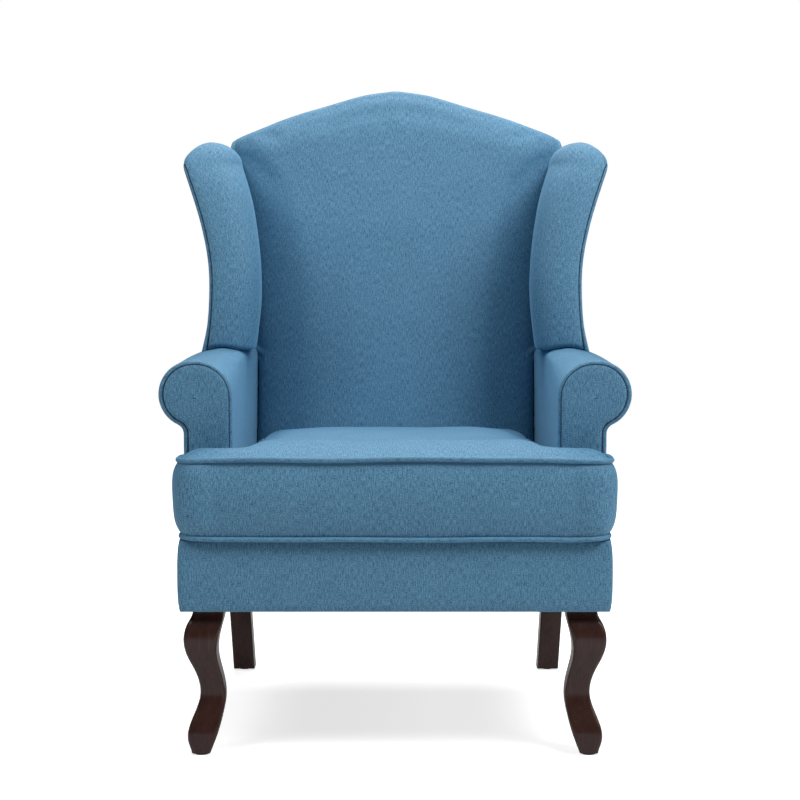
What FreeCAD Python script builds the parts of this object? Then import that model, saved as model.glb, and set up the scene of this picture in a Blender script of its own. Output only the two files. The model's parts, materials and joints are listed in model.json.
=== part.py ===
import FreeCAD, Part
import math
import os

from FreeCAD import Vector

# Wing armchair on cabriole front legs, upholstered over a wooden frame.
# Millimetres, +Z up, the front faces -Y, left and right as seen from the front (left is -X).
# The origin is on the floor, under the middle of the box around the whole chair.

# Overall sizes
OVERALL_DEPTH = 762.0  # front welt of the cushion to the rear of the crest
CREST_HEIGHT = 1112.0  # floor to the top of the camel back
SEAT_WIDTH = 678.0  # across the outside panels of the seat
SEAT_BOX_DEPTH = 596.0  # border face to the outside back, at the bottom edge
LEG_HEIGHT = 233.0  # floor to the underside of the seat
DECK_HEIGHT = 346.0  # floor to the top of the deck under the cushion
ARM_HEIGHT = 628.0  # floor to the top of the arm, beside the wing
ARM_FALL = 6.0  # how much lower the arm is at its scroll
ARM_WIDTH = 78.0  # from the inside arm to the side of the seat
ROLL_OUT = 40.0  # how far the arm roll stands out from the side of the seat
ARM_SETBACK = 87.0  # border face to the arm facing
CUSHION_THICKNESS = 120.0  # between the two welts of the cushion
CUSHION_CROWN = 23.0  # rise of the cushion's top over its upper seam

# Fits
CLEAR = 0.3  # gap between neighbouring pieces
SCREW_CLEAR = 0.15  # gap around a screw or bolt in its hole
SLIDE_CLEAR = 0.7  # gap between the loose cushion and the arms

# Upholstery thicknesses
PANEL = 5.0  # outside arm and outside back panels
BORDER = 8.0  # padded front border
WELT = 8.0  # diameter of every welt cord
SEAM_PROUD = 4.0  # cushion seam in front of the border face
DECK_PAD = 16.0
DUST_COVER = 3.0
FACING = 7.0  # padded arm facing
ARM_PAD = 25.0  # padding of the inside arm
ARM_WRAP = 6.0  # padding around the scroll board
COVER = 3.0  # quilted cover of the cushion
LINER = 3.0  # board behind the inside arm

# Wooden frame
RAIL_THICK = 25.0
SPRING_SPACE = 6.0  # from the rail tops to the deck pad
POST_WIDTH = 50.0
POST_NOTCH = 17.3  # housing cut in the post for the wing board
POST_FRONT = 50.0  # front face of the posts, ahead of the outside back
POST_DROP = 122.0  # top of the posts below the crest
NOTCH_DROP = 2.0  # start of that housing below the top of the arm
STRAP_ROOM = 2.0  # space in front of the posts for the webbing
BOARD = 15.0  # wing board
WING_PANEL = 6.7  # outside wing panel with its wadding
SCROLL_BOARD = 18.0
STUMP = 40.0
ARM_RAIL = 25.0
ARM_RAIL_OUT = 21.0  # how far the arm rail stands out from the side of the seat
BLOCK_LEG = 85.0  # short side of a corner block
BLOCK_HEIGHT = 30.0

# Places worked out from the sizes above
HALF_WIDTH = SEAT_WIDTH / 2
WOOD_HALF = HALF_WIDTH - PANEL
POST_IN = WOOD_HALF - POST_WIDTH
NOTCH_X = WOOD_HALF - POST_NOTCH
ARM_IN = HALF_WIDTH - ARM_WIDTH
Y_FRONT = -OVERALL_DEPTH / 2 + SEAM_PROUD + WELT + CLEAR
Y_REAR = Y_FRONT + SEAT_BOX_DEPTH
RAIL_BOTTOM = LEG_HEIGHT + DUST_COVER
RAIL_TOP = DECK_HEIGHT - DECK_PAD - SPRING_SPACE
PANEL_DROP = 31.0  # outside back below the padded crest
RAKE_TAN = (OVERALL_DEPTH / 2 - Y_REAR) / (CREST_HEIGHT - PANEL_DROP - LEG_HEIGHT)
RAKE_COS = 1 / math.sqrt(1 + RAKE_TAN ** 2)
FACING_Y = Y_FRONT + ARM_SETBACK
BOARD_Y = FACING_Y + FACING
BEHIND_BOARD = BOARD_Y + SCROLL_BOARD
LONG = 2 * CREST_HEIGHT  # longer than the chair, for cutting tools
half_gap = CLEAR / 2

os.makedirs("parts", exist_ok=True)
count = 0
chair_box = FreeCAD.BoundBox()


def save(name, shape):
    """Writes one named piece and adds it to the box around the chair."""
    global count
    count += 1
    chair_box.add(shape.optimalBoundingBox(False))
    if not shape.isValid():
        print("not valid:", name)
    print(name, "solids", len(shape.Solids), "volume", round(shape.Volume))
    shape.exportStep("parts/" + name + ".step")


def mirrored(shape):
    """The same piece on the other side of the chair."""
    return shape.mirror(Vector(0, 0, 0), Vector(1, 0, 0))


def save_pair(name, right):
    """Writes the right piece and its mirror image on the left."""
    save("right_" + name, right)
    save("left_" + name, mirrored(right))


def box(x0, x1, y0, y1, z0, z1):
    return Part.makeBox(x1 - x0, y1 - y0, z1 - z0, Vector(x0, y0, z0))


def rod(radius, start, end):
    """A round bar between two points."""
    along = end - start
    return Part.makeCylinder(radius, along.Length, start, along)


def rear_y(z, n):
    """Depth of the plane that lies n in front of the raked outside back, at height z."""
    return Y_REAR + (z - LEG_HEIGHT) * RAKE_TAN - n / RAKE_COS


def polygon_yz(points, x0, x1):
    """A side profile of (y, z) points, drawn from x0 to x1."""
    corners = [Vector(x0, y, z) for y, z in points]
    face = Part.Face(Part.makePolygon(corners + corners[:1]))
    return face.extrude(Vector(x1 - x0, 0, 0))


def polygon_xy(points, z0, z1):
    """A plan of (x, y) points, raised from z0 to z1."""
    corners = [Vector(x, y, z0) for x, y in points]
    face = Part.Face(Part.makePolygon(corners + corners[:1]))
    return face.extrude(Vector(0, 0, z1 - z0))


def raked_slab(x0, x1, z0, z1, n0, n1):
    """A piece that lies in the raked back, with level ends."""
    profile = [(rear_y(z0, n1), z0), (rear_y(z0, n0), z0), (rear_y(z1, n0), z1), (rear_y(z1, n1), z1)]
    return polygon_yz(profile, x0, x1)


def arc_through(a, b, c):
    return Part.Arc(a, b, c).toShape()


def line(a, b):
    return Part.LineSegment(a, b).toShape()


def rounded_path(points, trims, closed=False):
    """Straight runs joined by tangent arcs; each corner is cut back by its trim."""
    total = len(points)
    corners = range(total) if closed else range(1, total - 1)
    starts = {}
    ends = {}
    middles = {}
    for i in corners:
        corner = points[i]
        back = (points[i - 1] - corner).normalize()
        ahead = (points[(i + 1) % total] - corner).normalize()
        half_angle = back.getAngle(ahead) / 2
        inward = (back + ahead).normalize()
        trim = trims[i]
        radius = trim * math.tan(half_angle)
        centre = corner + inward * (trim / math.cos(half_angle))
        starts[i] = corner + back * trim
        ends[i] = corner + ahead * trim
        middles[i] = centre - inward * radius
    edges = []
    here = ends[0] if closed else points[0]
    order = list(range(1, total)) + ([0] if closed else [])
    for i in order:
        goal = starts[i] if i in starts else points[i]
        if (goal - here).Length > CLEAR / 100:
            edges.append(line(here, goal))
        here = goal
        if i in starts:
            edges.append(arc_through(starts[i], middles[i], ends[i]))
            here = ends[i]
    return Part.Wire(edges)


def cord(path, diameter):
    """A round cord along a path of straight runs and arcs."""
    first = path.OrderedEdges[0]
    start = first.valueAt(first.FirstParameter)
    along = first.tangentAt(first.FirstParameter)
    ring = Part.Wire(Part.Circle(start, along, diameter / 2).toShape())
    return path.makePipeShell([ring], True, False)


# Seat box of the frame.
rail_front = Y_FRONT + BORDER
side_rail_front = rail_front + RAIL_THICK
front_rail = box(-WOOD_HALF, WOOD_HALF, rail_front, side_rail_front, RAIL_BOTTOM, RAIL_TOP)
side_profile = [
    (side_rail_front, RAIL_BOTTOM),
    (rear_y(RAIL_BOTTOM, POST_FRONT), RAIL_BOTTOM),
    (rear_y(RAIL_TOP, POST_FRONT), RAIL_TOP),
    (side_rail_front, RAIL_TOP),
]
side_rail = polygon_yz(side_profile, WOOD_HALF - RAIL_THICK, WOOD_HALF)
BACK_RAIL_REAR = 10.0
back_rail_front = BACK_RAIL_REAR + RAIL_THICK
back_rail = raked_slab(-POST_IN, POST_IN, RAIL_BOTTOM, RAIL_TOP, BACK_RAIL_REAR, back_rail_front)

# Corner blocks: the front pair carries the front legs, the rear pair stiffens the joint at the posts.
rail_in = WOOD_HALF - RAIL_THICK
front_corner = [
    (rail_in, side_rail_front),
    (rail_in, side_rail_front + BLOCK_LEG),
    (rail_in - BLOCK_LEG, side_rail_front),
]
rear_corner_y = rear_y(RAIL_BOTTOM, POST_FRONT) - CLEAR
rear_corner = [
    (rail_in, rear_corner_y),
    (rail_in - BLOCK_LEG, rear_corner_y),
    (rail_in, rear_corner_y - BLOCK_LEG),
]
block_top = RAIL_BOTTOM + BLOCK_HEIGHT
front_block = polygon_xy(front_corner, RAIL_BOTTOM, block_top)
rear_block = polygon_xy(rear_corner, RAIL_BOTTOM, block_top)

# Screws that hold the corner blocks: two in each front block, one in each rear block.
SCREW_RADIUS = 2.0
SCREW_HEAD_RADIUS = 4.0
SCREW_HEAD = 2.5
SCREW_BITE = 16.0  # how far a screw goes into the rail
SCREW_REACH = 24.0  # from the rail face to the screw head
SCREW_ALONG = 0.62  # place of a screw along its block, as a share of the block's side
screw_z = RAIL_BOTTOM + BLOCK_HEIGHT / 2


def screw(head, tip, grow):
    """A countersunk wood screw, or its hole when grow is more than nothing."""
    along = (tip - head).normalize()
    shank = rod(SCREW_RADIUS + grow, head, tip + along * grow)
    neck = head + along * SCREW_HEAD
    length = (neck - head).Length
    cone = Part.makeCone(SCREW_HEAD_RADIUS + grow, SCREW_RADIUS + grow, length, head, along)
    return shank.fuse(cone).removeSplitter()


def screw_well(head, tip):
    """The hole for a screw, with the well that lets a driver reach its head."""
    along = (tip - head).normalize()
    well = rod(SCREW_HEAD_RADIUS + SCREW_CLEAR, head - along * BLOCK_LEG, head)
    return screw(head, tip, SCREW_CLEAR).fuse(well)


screw_side = BLOCK_LEG * SCREW_ALONG
front_screws = [
    (
        Vector(rail_in - SCREW_REACH, side_rail_front + screw_side, screw_z),
        Vector(rail_in + SCREW_BITE, side_rail_front + screw_side, screw_z),
    ),
    (
        Vector(rail_in - screw_side, side_rail_front + SCREW_REACH, screw_z),
        Vector(rail_in - screw_side, side_rail_front - SCREW_BITE, screw_z),
    ),
]
rear_screws = [
    (
        Vector(rail_in - SCREW_REACH, rear_corner_y - screw_side, screw_z),
        Vector(rail_in + SCREW_BITE, rear_corner_y - screw_side, screw_z),
    ),
]
block_screws = []
for head, tip in front_screws:
    block_screws.append(screw(head, tip, 0))
    front_block = front_block.cut(screw_well(head, tip))
    side_rail = side_rail.cut(screw(head, tip, SCREW_CLEAR))
    front_rail = front_rail.cut(screw(head, tip, SCREW_CLEAR))
    front_rail = front_rail.cut(mirrored(screw(head, tip, SCREW_CLEAR)))
for head, tip in rear_screws:
    block_screws.append(screw(head, tip, 0))
    rear_block = rear_block.cut(screw_well(head, tip))
    side_rail = side_rail.cut(screw(head, tip, SCREW_CLEAR))

# Cabriole front legs: each station gives the height as a share of the leg, and how far the outer and
# the inner face stand in from the side of the seat. The front faces follow the same curve.
GLIDE = 3.0
LEG_STATIONS = [
    (0.0, 17.0, 46.5),
    (0.069, 13.0, 52.8),
    (0.133, 11.5, 57.8),
    (0.236, 18.0, 64.0),
    (0.382, 29.5, 69.0),
    (0.567, 21.8, 63.0),
    (0.678, 11.0, 58.5),
    (0.79, 6.4, 60.2),
    (0.897, 12.5, 66.5),
    (1.0, 20.0, 69.0),
]
LEG_CORNER = 6.0


def leg_section(share, outer, inner):
    """A square with rounded corners, set in from the corner of the seat."""
    z = GLIDE + share * (RAIL_BOTTOM - GLIDE)
    x1 = HALF_WIDTH - outer
    x0 = HALF_WIDTH - inner
    y0 = Y_FRONT + outer
    y1 = Y_FRONT + inner
    corners = [Vector(x0, y0, z), Vector(x1, y0, z), Vector(x1, y1, z), Vector(x0, y1, z)]
    return rounded_path(corners, [LEG_CORNER] * len(corners), True)


front_leg = Part.makeLoft([leg_section(*station) for station in LEG_STATIONS], True, False)

# Rear legs: straight, square, raked backwards and leaning slightly inwards.
REAR_LEG = 40.0
REAR_LEG_IN = 20.0  # from the side of the seat to the outer face, at the top
REAR_LEG_SET = 8.0  # from the outside back to the rear face, at the top
REAR_LEG_RAKE = 74.0
REAR_LEG_CANT = 6.7
REAR_LEG_CORNER = 3.0
rear_leg_x = HALF_WIDTH - REAR_LEG_IN
rear_leg_y = Y_REAR - REAR_LEG_SET


def rear_leg_section(z, dx, dy):
    x1 = rear_leg_x + dx
    y1 = rear_leg_y + dy
    x0 = x1 - REAR_LEG
    y0 = y1 - REAR_LEG
    corners = [Vector(x0, y0, z), Vector(x1, y0, z), Vector(x1, y1, z), Vector(x0, y1, z)]
    return rounded_path(corners, [REAR_LEG_CORNER] * len(corners), True)


rear_top = rear_leg_section(RAIL_BOTTOM, 0, 0)
rear_foot = rear_leg_section(GLIDE, -REAR_LEG_CANT, REAR_LEG_RAKE)
rear_leg = Part.makeLoft([rear_top, rear_foot], True, True)

# Floor glides: a disc with a pin that is pressed into the foot.
GLIDE_RADIUS = 11.0
PIN_RADIUS = 1.6
PIN_LENGTH = 14.0
foot_share, foot_outer, foot_inner = LEG_STATIONS[0]
foot_middle = (foot_outer + foot_inner) / 2
front_foot = Vector(HALF_WIDTH - foot_middle, Y_FRONT + foot_middle, 0)
rear_foot_x = rear_leg_x - REAR_LEG / 2 - REAR_LEG_CANT
rear_foot_at = Vector(rear_foot_x, rear_leg_y - REAR_LEG / 2 + REAR_LEG_RAKE, 0)
up = Vector(0, 0, 1)
glides = []
for foot in (front_foot, rear_foot_at):
    disc = Part.makeCylinder(GLIDE_RADIUS, GLIDE, foot)
    pin = Part.makeCylinder(PIN_RADIUS, PIN_LENGTH, foot + up * GLIDE)
    glides.append(disc.fuse(pin).removeSplitter())
pin_hole = PIN_RADIUS + SCREW_CLEAR
front_leg = front_leg.cut(Part.makeCylinder(pin_hole, PIN_LENGTH + CLEAR, front_foot + up * GLIDE))
rear_leg = rear_leg.cut(Part.makeCylinder(pin_hole, PIN_LENGTH + CLEAR, rear_foot_at + up * GLIDE))

# Back posts: full width up to the arms, then notched for the wing boards.
post_top = CREST_HEIGHT - POST_DROP
notch_z = ARM_HEIGHT - NOTCH_DROP
post_low = raked_slab(POST_IN, WOOD_HALF, RAIL_BOTTOM, notch_z, PANEL + CLEAR, POST_FRONT)
post_high = raked_slab(POST_IN, NOTCH_X, notch_z, post_top, PANEL + CLEAR, POST_FRONT)
back_post = post_low.fuse(post_high).removeSplitter()

# Hanger bolts: each leg has one, through the corner block in front and into the post behind.
BOLT_RADIUS = 4.0
BOLT_IN_LEG = 44.0
BOLT_ABOVE = 12.0
BOLT_IN_POST = 48.0
NUT_HEIGHT = 6.5
NUT_FLAT = 13.0
WASHER_RADIUS = 10.0
WASHER = 1.5
BOLT_SET = 46.0  # from the sides of the seat to the front bolt
front_bolt = Vector(HALF_WIDTH - BOLT_SET, Y_FRONT + BOLT_SET, RAIL_BOTTOM)
rear_bolt_y = rear_leg_y - REAR_LEG / 2 + REAR_LEG_RAKE * BOLT_IN_LEG / RAIL_BOTTOM / 2
rear_bolt = Vector(rear_leg_x - REAR_LEG / 2, rear_bolt_y, RAIL_BOTTOM)
front_bolt_top = BLOCK_HEIGHT + BOLT_ABOVE
bolt_runs = [
    (front_bolt - up * BOLT_IN_LEG, front_bolt + up * front_bolt_top),
    (rear_bolt - up * BOLT_IN_LEG, rear_bolt + up * BOLT_IN_POST),
]
bolts = []
for low, high in bolt_runs:
    bolts.append(rod(BOLT_RADIUS, low, high))
    hole = rod(BOLT_RADIUS + SCREW_CLEAR, low - up * SCREW_CLEAR, high + up * SCREW_CLEAR)
    front_leg = front_leg.cut(hole)
    rear_leg = rear_leg.cut(hole)
    front_block = front_block.cut(hole)
    front_rail = front_rail.cut(hole).cut(mirrored(hole))
    side_rail = side_rail.cut(hole)
    back_post = back_post.cut(hole)
hole = rod(BOLT_RADIUS + SCREW_CLEAR, front_bolt, front_bolt + up * LONG)
washer_at = front_bolt + up * BLOCK_HEIGHT
washer = Part.makeCylinder(WASHER_RADIUS, WASHER, washer_at).cut(hole)
NUT_SIDES = 6
nut_corner = NUT_FLAT / 2 / math.cos(math.pi / NUT_SIDES)
nut_points = []
for side in range(NUT_SIDES):
    turn = 2 * math.pi * side / NUT_SIDES
    x = front_bolt.x + nut_corner * math.cos(turn)
    y = front_bolt.y + nut_corner * math.sin(turn)
    nut_points.append((x, y))
nut_z = washer_at.z + WASHER
nut = polygon_xy(nut_points, nut_z, nut_z + NUT_HEIGHT).cut(hole)
nut_set = nut.fuse(washer).removeSplitter()

# Arm outline, seen from the front: inside face, rounded top, outer roll and the curl under the roll.
# Towards the wing the arm rises and its inner edge grows squarer.
ARM_FLAT = 5.0  # short level run between the arm's two top curves at the scroll
CURL_RADIUS = 16.0
WING_EDGE_RADIUS = 22.0  # inner edge of the arm beside the wing
SQUARE_AHEAD = 12.0  # the squarer outline starts this far in front of the wing
scroll_height = ARM_HEIGHT - ARM_FALL
SCROLL_RADIUS = (ARM_WIDTH + ROLL_OUT) / 2
ROLL_RADIUS = SCROLL_RADIUS - ARM_FLAT
roll_x = HALF_WIDTH + ROLL_OUT - ROLL_RADIUS
curl_x = HALF_WIDTH + CURL_RADIUS
curl_drop = math.sqrt((ROLL_RADIUS + CURL_RADIUS) ** 2 - (curl_x - roll_x) ** 2)
curl_turn = math.atan2(curl_drop, curl_x - roll_x)
curl_z = scroll_height - ROLL_RADIUS - curl_drop


def round_point(x, z, radius, angle):
    return Vector(x + radius * math.cos(angle), 0, z + radius * math.sin(angle))


def arm_edges(inset, bottom, height, edge_radius):
    """The arm outline, set inwards, as edges from the inner bottom to the outer bottom."""
    top_x = ARM_IN + edge_radius
    top_z = height - edge_radius
    roll_z = height - ROLL_RADIUS
    hollow_z = roll_z - curl_drop
    top_r = edge_radius - inset
    roll_r = ROLL_RADIUS - inset
    curl_r = CURL_RADIUS + inset
    a = Vector(ARM_IN + inset, 0, bottom)
    b = Vector(ARM_IN + inset, 0, top_z)
    c = Vector(top_x, 0, height - inset)
    d = Vector(roll_x, 0, height - inset)
    e = round_point(roll_x, roll_z, roll_r, -curl_turn)
    f = Vector(HALF_WIDTH - inset, 0, hollow_z)
    g = Vector(HALF_WIDTH - inset, 0, bottom)
    over_top = round_point(top_x, top_z, top_r, math.pi * 3 / 4)
    round_roll = round_point(roll_x, roll_z, roll_r, (math.pi / 2 - curl_turn) / 2)
    in_curl = round_point(curl_x, hollow_z, curl_r, math.pi - curl_turn / 2)
    return [
        line(a, b),
        arc_through(b, over_top, c),
        line(c, d),
        arc_through(d, round_roll, e),
        arc_through(e, in_curl, f),
        line(f, g),
    ]


def arm_section(inset, bottom, height, edge_radius, y):
    """The closed arm outline at depth y."""
    edges = arm_edges(inset, bottom, height, edge_radius)
    closing = line(Vector(HALF_WIDTH - inset, 0, bottom), Vector(ARM_IN + inset, 0, bottom))
    wire = Part.Wire(edges + [closing])
    wire.translate(Vector(0, y, 0))
    return wire


def scroll_prism(inset, bottom, y0, y1):
    """The arm outline of the scroll, drawn along the chair from y0 to y1."""
    face = Part.Face(arm_section(inset, bottom, scroll_height, SCROLL_RADIUS, y0))
    return face.extrude(Vector(0, y1 - y0, 0))


def rear_arm_prism(inset, bottom, y0, y1):
    """The squarer arm outline beside the wing, drawn along the chair from y0 to y1."""
    face = Part.Face(arm_section(inset, bottom, ARM_HEIGHT, WING_EDGE_RADIUS, y0))
    return face.extrude(Vector(0, y1 - y0, 0))


# Arm frame: stump on the side rail, rail on the stump, scroll board on the stump's front.
arm_rail_z = scroll_height - SCROLL_RADIUS
liner_x = ARM_IN + ARM_PAD
stump_in = liner_x + LINER
stump = box(stump_in, WOOD_HALF, BEHIND_BOARD, BEHIND_BOARD + STUMP, RAIL_TOP, arm_rail_z)
arm_rail_profile = [
    (BEHIND_BOARD, arm_rail_z),
    (rear_y(arm_rail_z, POST_FRONT), arm_rail_z),
    (rear_y(arm_rail_z + ARM_RAIL, POST_FRONT), arm_rail_z + ARM_RAIL),
    (BEHIND_BOARD, arm_rail_z + ARM_RAIL),
]
arm_rail = polygon_yz(arm_rail_profile, stump_in, HALF_WIDTH + ARM_RAIL_OUT)
scroll_board = scroll_prism(ARM_WRAP, RAIL_TOP, BOARD_Y, BEHIND_BOARD)
behind_posts = POST_FRONT + STRAP_ROOM
liner_profile = [
    (BEHIND_BOARD, RAIL_TOP),
    (rear_y(RAIL_TOP, behind_posts), RAIL_TOP),
    (rear_y(arm_rail_z, behind_posts), arm_rail_z),
    (BEHIND_BOARD, arm_rail_z),
]
arm_liner = polygon_yz(liner_profile, liner_x, stump_in)

# Outside arm panel: runs along the seat and up to the curl under the roll.
panel_rear = PANEL + CLEAR
side_panel_profile = [
    (Y_FRONT + BORDER + CLEAR, LEG_HEIGHT),
    (rear_y(LEG_HEIGHT, panel_rear), LEG_HEIGHT),
    (rear_y(curl_z, panel_rear), curl_z),
    (BOARD_Y, curl_z),
    (BOARD_Y, DECK_HEIGHT - CLEAR),
    (Y_FRONT + BORDER + CLEAR, DECK_HEIGHT - CLEAR),
]
side_panel = polygon_yz(side_panel_profile, WOOD_HALF, HALF_WIDTH)

# Padded arm: the scroll's outline blended into the squarer one and run to the back, less the hollow
# that holds the arm frame.
WING_FOOT_SETBACK = 340.0  # border face to the front edge of the wing, at the arm
pad_bottom = DECK_HEIGHT - CLEAR
square_y = Y_FRONT + WING_FOOT_SETBACK - SQUARE_AHEAD
scroll_section = arm_section(0, pad_bottom, scroll_height, SCROLL_RADIUS, BOARD_Y)
square_section = arm_section(0, pad_bottom, ARM_HEIGHT, WING_EDGE_RADIUS, square_y)
arm_blend = Part.makeLoft([scroll_section, square_section], True, True)
arm_rear = rear_arm_prism(0, pad_bottom, square_y, Y_FRONT + OVERALL_DEPTH)
arm_long = arm_blend.fuse(arm_rear)
rear_stop = raked_slab(0, LONG, 0, LONG, panel_rear, LONG)
arm_pad = arm_long.common(rear_stop)
arm_pad = arm_pad.cut(scroll_prism(ARM_WRAP - half_gap, 0, BOARD_Y - CLEAR, BEHIND_BOARD))
arm_pad = arm_pad.cut(box(liner_x, WOOD_HALF, BEHIND_BOARD - CLEAR, LONG, 0, arm_rail_z))
arm_pad = arm_pad.cut(box(WOOD_HALF - CLEAR, LONG, BOARD_Y - CLEAR, LONG, 0, curl_z))
arm_pad = arm_pad.cut(arm_rail)
arm_pad = arm_pad.cut(raked_slab(0, WOOD_HALF + CLEAR, 0, LONG, -LONG, behind_posts))

# Arm facing inside its welt.
facing_inset = WELT + CLEAR
facing_bottom = DECK_HEIGHT + CLEAR
arm_facing = scroll_prism(facing_inset, facing_bottom, FACING_Y, BOARD_Y)
welt_y = BOARD_Y - WELT / 2
arm_welt_path = Part.Wire(arm_edges(WELT / 2, facing_bottom, scroll_height, SCROLL_RADIUS))
arm_welt_path.translate(Vector(0, welt_y - CLEAR / 2, 0))
arm_welt = cord(arm_welt_path, WELT)

# Wings. Each station gives the height as a share of the rise from arm to crest, the setback of the
# front edge from the wing's foot, the outer edge from the side of the seat, the inner edge and the
# crevice beside the inside back from the inside arm, and how far the tail along the back draws in.
WING_SHAPE = [
    (-0.058, 0.0, -1.0, -14.0, 11.0, 0.0),
    (0.05, 0.5, -8.5, -24.0, 3.0, 0.0),
    (0.178, 4.0, -13.5, -28.7, 1.0, 0.0),
    (0.308, 12.0, -12.0, -28.0, 3.0, 0.0),
    (0.438, 23.5, -0.5, -18.0, 11.0, 0.0),
    (0.57, 39.0, 19.0, -2.0, 23.0, 0.0),
    (0.676, 54.5, 36.2, 16.0, 35.0, 0.0),
    (0.717, 65.0, 30.0, 26.0, 41.0, 0.7),
    (0.744, 81.0, 17.0, 42.0, 47.0, 3.0),
    (0.758, 101.0, 5.0, 59.0, 53.0, 5.0),
]
BOARD_LEVELS = 7  # stations that the wing board reaches
WING_FRONT = 14.0  # from the wing's front edge to its board
WING_BACK = 101.0  # wing pad's rear, ahead of the outside back
INNER_ROUND = 0.45  # depth of the rounded front edge, as a share of the wing's width
OUTER_ROUND = 0.1
wing_stations = []
for share, setback, outer, inner, crevice, draw in WING_SHAPE:
    z = ARM_HEIGHT + share * (CREST_HEIGHT - ARM_HEIGHT)
    front = WING_FOOT_SETBACK + setback
    tail_in = NOTCH_X + CLEAR + draw
    tail_out = HALF_WIDTH - WELT - draw
    widths = (HALF_WIDTH + outer, ARM_IN + inner, ARM_IN + crevice)
    wing_stations.append((z, front, *widths, tail_in, tail_out))
board_stations = wing_stations[:BOARD_LEVELS]
board_top, top_setback, top_outer = board_stations[-1][:3]


def wing_form_section(z, front, outer, inner, crevice, tail_in, tail_out):
    """The whole wing at one height, from its tail round the rounded front edge and back."""
    y = Y_FRONT + front
    edge = outer - WELT - CLEAR
    width = edge - inner
    tail_y = rear_y(z, panel_rear)
    back_y = rear_y(z, WING_BACK)
    a = Vector(tail_out, tail_y, z)
    b = Vector(edge, y + OUTER_ROUND * width, z)
    nose = Vector((edge + inner) / 2, y, z)
    c = Vector(inner, y + INNER_ROUND * width, z)
    d = Vector(crevice, back_y, z)
    e = Vector(tail_in, back_y, z)
    f = Vector(tail_in, tail_y, z)
    return Part.Wire([line(a, b), arc_through(b, nose, c), line(c, d), line(d, e), line(e, f), line(f, a)])


def wing_layer(z, front, outer, in_rear, in_front, out_rear, out_front, grow):
    """A layer of the wing's outer side: straight along the post, then out to the front edge."""
    y = Y_FRONT + front + WING_FRONT - grow
    rear = rear_y(z, panel_rear - grow)
    knee = rear_y(z, WING_BACK)
    plan = [
        Vector(in_rear, rear, z),
        Vector(in_rear, knee, z),
        Vector(in_front, y, z),
        Vector(out_front, y, z),
        Vector(out_rear, knee, z),
        Vector(out_rear, rear, z),
    ]
    return Part.makePolygon(plan + plan[:1])


def layer_loft(in_depth, out_depth, grow):
    """A lofted layer between two depths under the outside of the wing."""
    wires = []
    for z, front, outer, *rest in board_stations:
        in_rear = HALF_WIDTH - in_depth
        out_rear = HALF_WIDTH - out_depth
        level = z + grow if z == board_top else z
        in_front = outer - in_depth
        out_front = outer - out_depth
        wires.append(wing_layer(level, front, outer, in_rear, in_front, out_rear, out_front, grow))
    return Part.makeLoft(wires, True, False)


board_depth = WING_PANEL + CLEAR
over_arm = rear_arm_prism(-CLEAR, 0, Y_FRONT, Y_FRONT + OVERALL_DEPTH)
wing_board = layer_loft(board_depth + BOARD, board_depth, 0).cut(over_arm)
outside_wing = layer_loft(WING_PANEL, 0, 0).cut(over_arm)
wing_form = Part.makeLoft([wing_form_section(*station) for station in wing_stations], True, False)
wing_room = layer_loft(board_depth + BOARD + CLEAR, -HALF_WIDTH / 2, CLEAR)
wing_pad = wing_form.cut(wing_room).cut(over_arm)

# Screws that hold each wing board in the notch of its post.
WING_SCREW_TIP = 26.0
WING_SCREW_SHARES = (0.2, 0.5, 0.8)
wing_screw_n = (PANEL + POST_FRONT) / 2
wing_screws = []
for share in WING_SCREW_SHARES:
    z = notch_z + (board_top - notch_z) * share
    y = rear_y(z, wing_screw_n)
    head = Vector(HALF_WIDTH - board_depth - CLEAR, y, z)
    tip = Vector(NOTCH_X - WING_SCREW_TIP, y, z)
    wing_screws.append(screw(head, tip, 0))
    wing_board = wing_board.cut(screw_well(head, tip))
    back_post = back_post.cut(screw(head, tip, SCREW_CLEAR))

# Wing welt: up the outer front edge, round the top corner and back along the top of the outside wing.
LOW_FLARE = 4.0  # the welt's foot stands out a little where it meets the arm
BEND_TRIM = 20.0
CORNER_TRIM = 12.0
welt_half = WELT / 2
welt_set = WING_FRONT - welt_half - CLEAR
welt_points = []
for z, front, outer, *rest in board_stations[1:-1]:
    welt_points.append(Vector(outer - welt_half, Y_FRONT + front + welt_set, z))
welt_bends = len(welt_points)
foot_x = welt_points[0].x + LOW_FLARE
arm_rise = math.sqrt(ROLL_RADIUS ** 2 - (foot_x - roll_x) ** 2)
welt_foot = Vector(foot_x, welt_points[0].y, ARM_HEIGHT - ROLL_RADIUS + arm_rise)
welt_top = board_top + welt_half + CLEAR
top_corner = Vector(top_outer - welt_half, Y_FRONT + top_setback + welt_set, welt_top)
top_knee = Vector(HALF_WIDTH - welt_half, rear_y(welt_top, WING_BACK), welt_top)
end_n = panel_rear + welt_half * RAKE_TAN + CLEAR
top_end = Vector(HALF_WIDTH - welt_half, rear_y(welt_top, end_n), welt_top)
welt_points = [welt_foot] + welt_points + [top_corner, top_knee, top_end]
welt_trims = [0.0] + [BEND_TRIM] * welt_bends + [CORNER_TRIM, CORNER_TRIM, 0.0]
wing_welt = cord(rounded_path(welt_points, welt_trims), WELT).cut(over_arm)
welt_room = cord(rounded_path(welt_points, welt_trims), WELT + 4 * CLEAR)
wing_pad = wing_pad.cut(welt_room)
outside_wing = outside_wing.cut(welt_room)
wing_board = wing_board.cut(welt_room)

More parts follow.
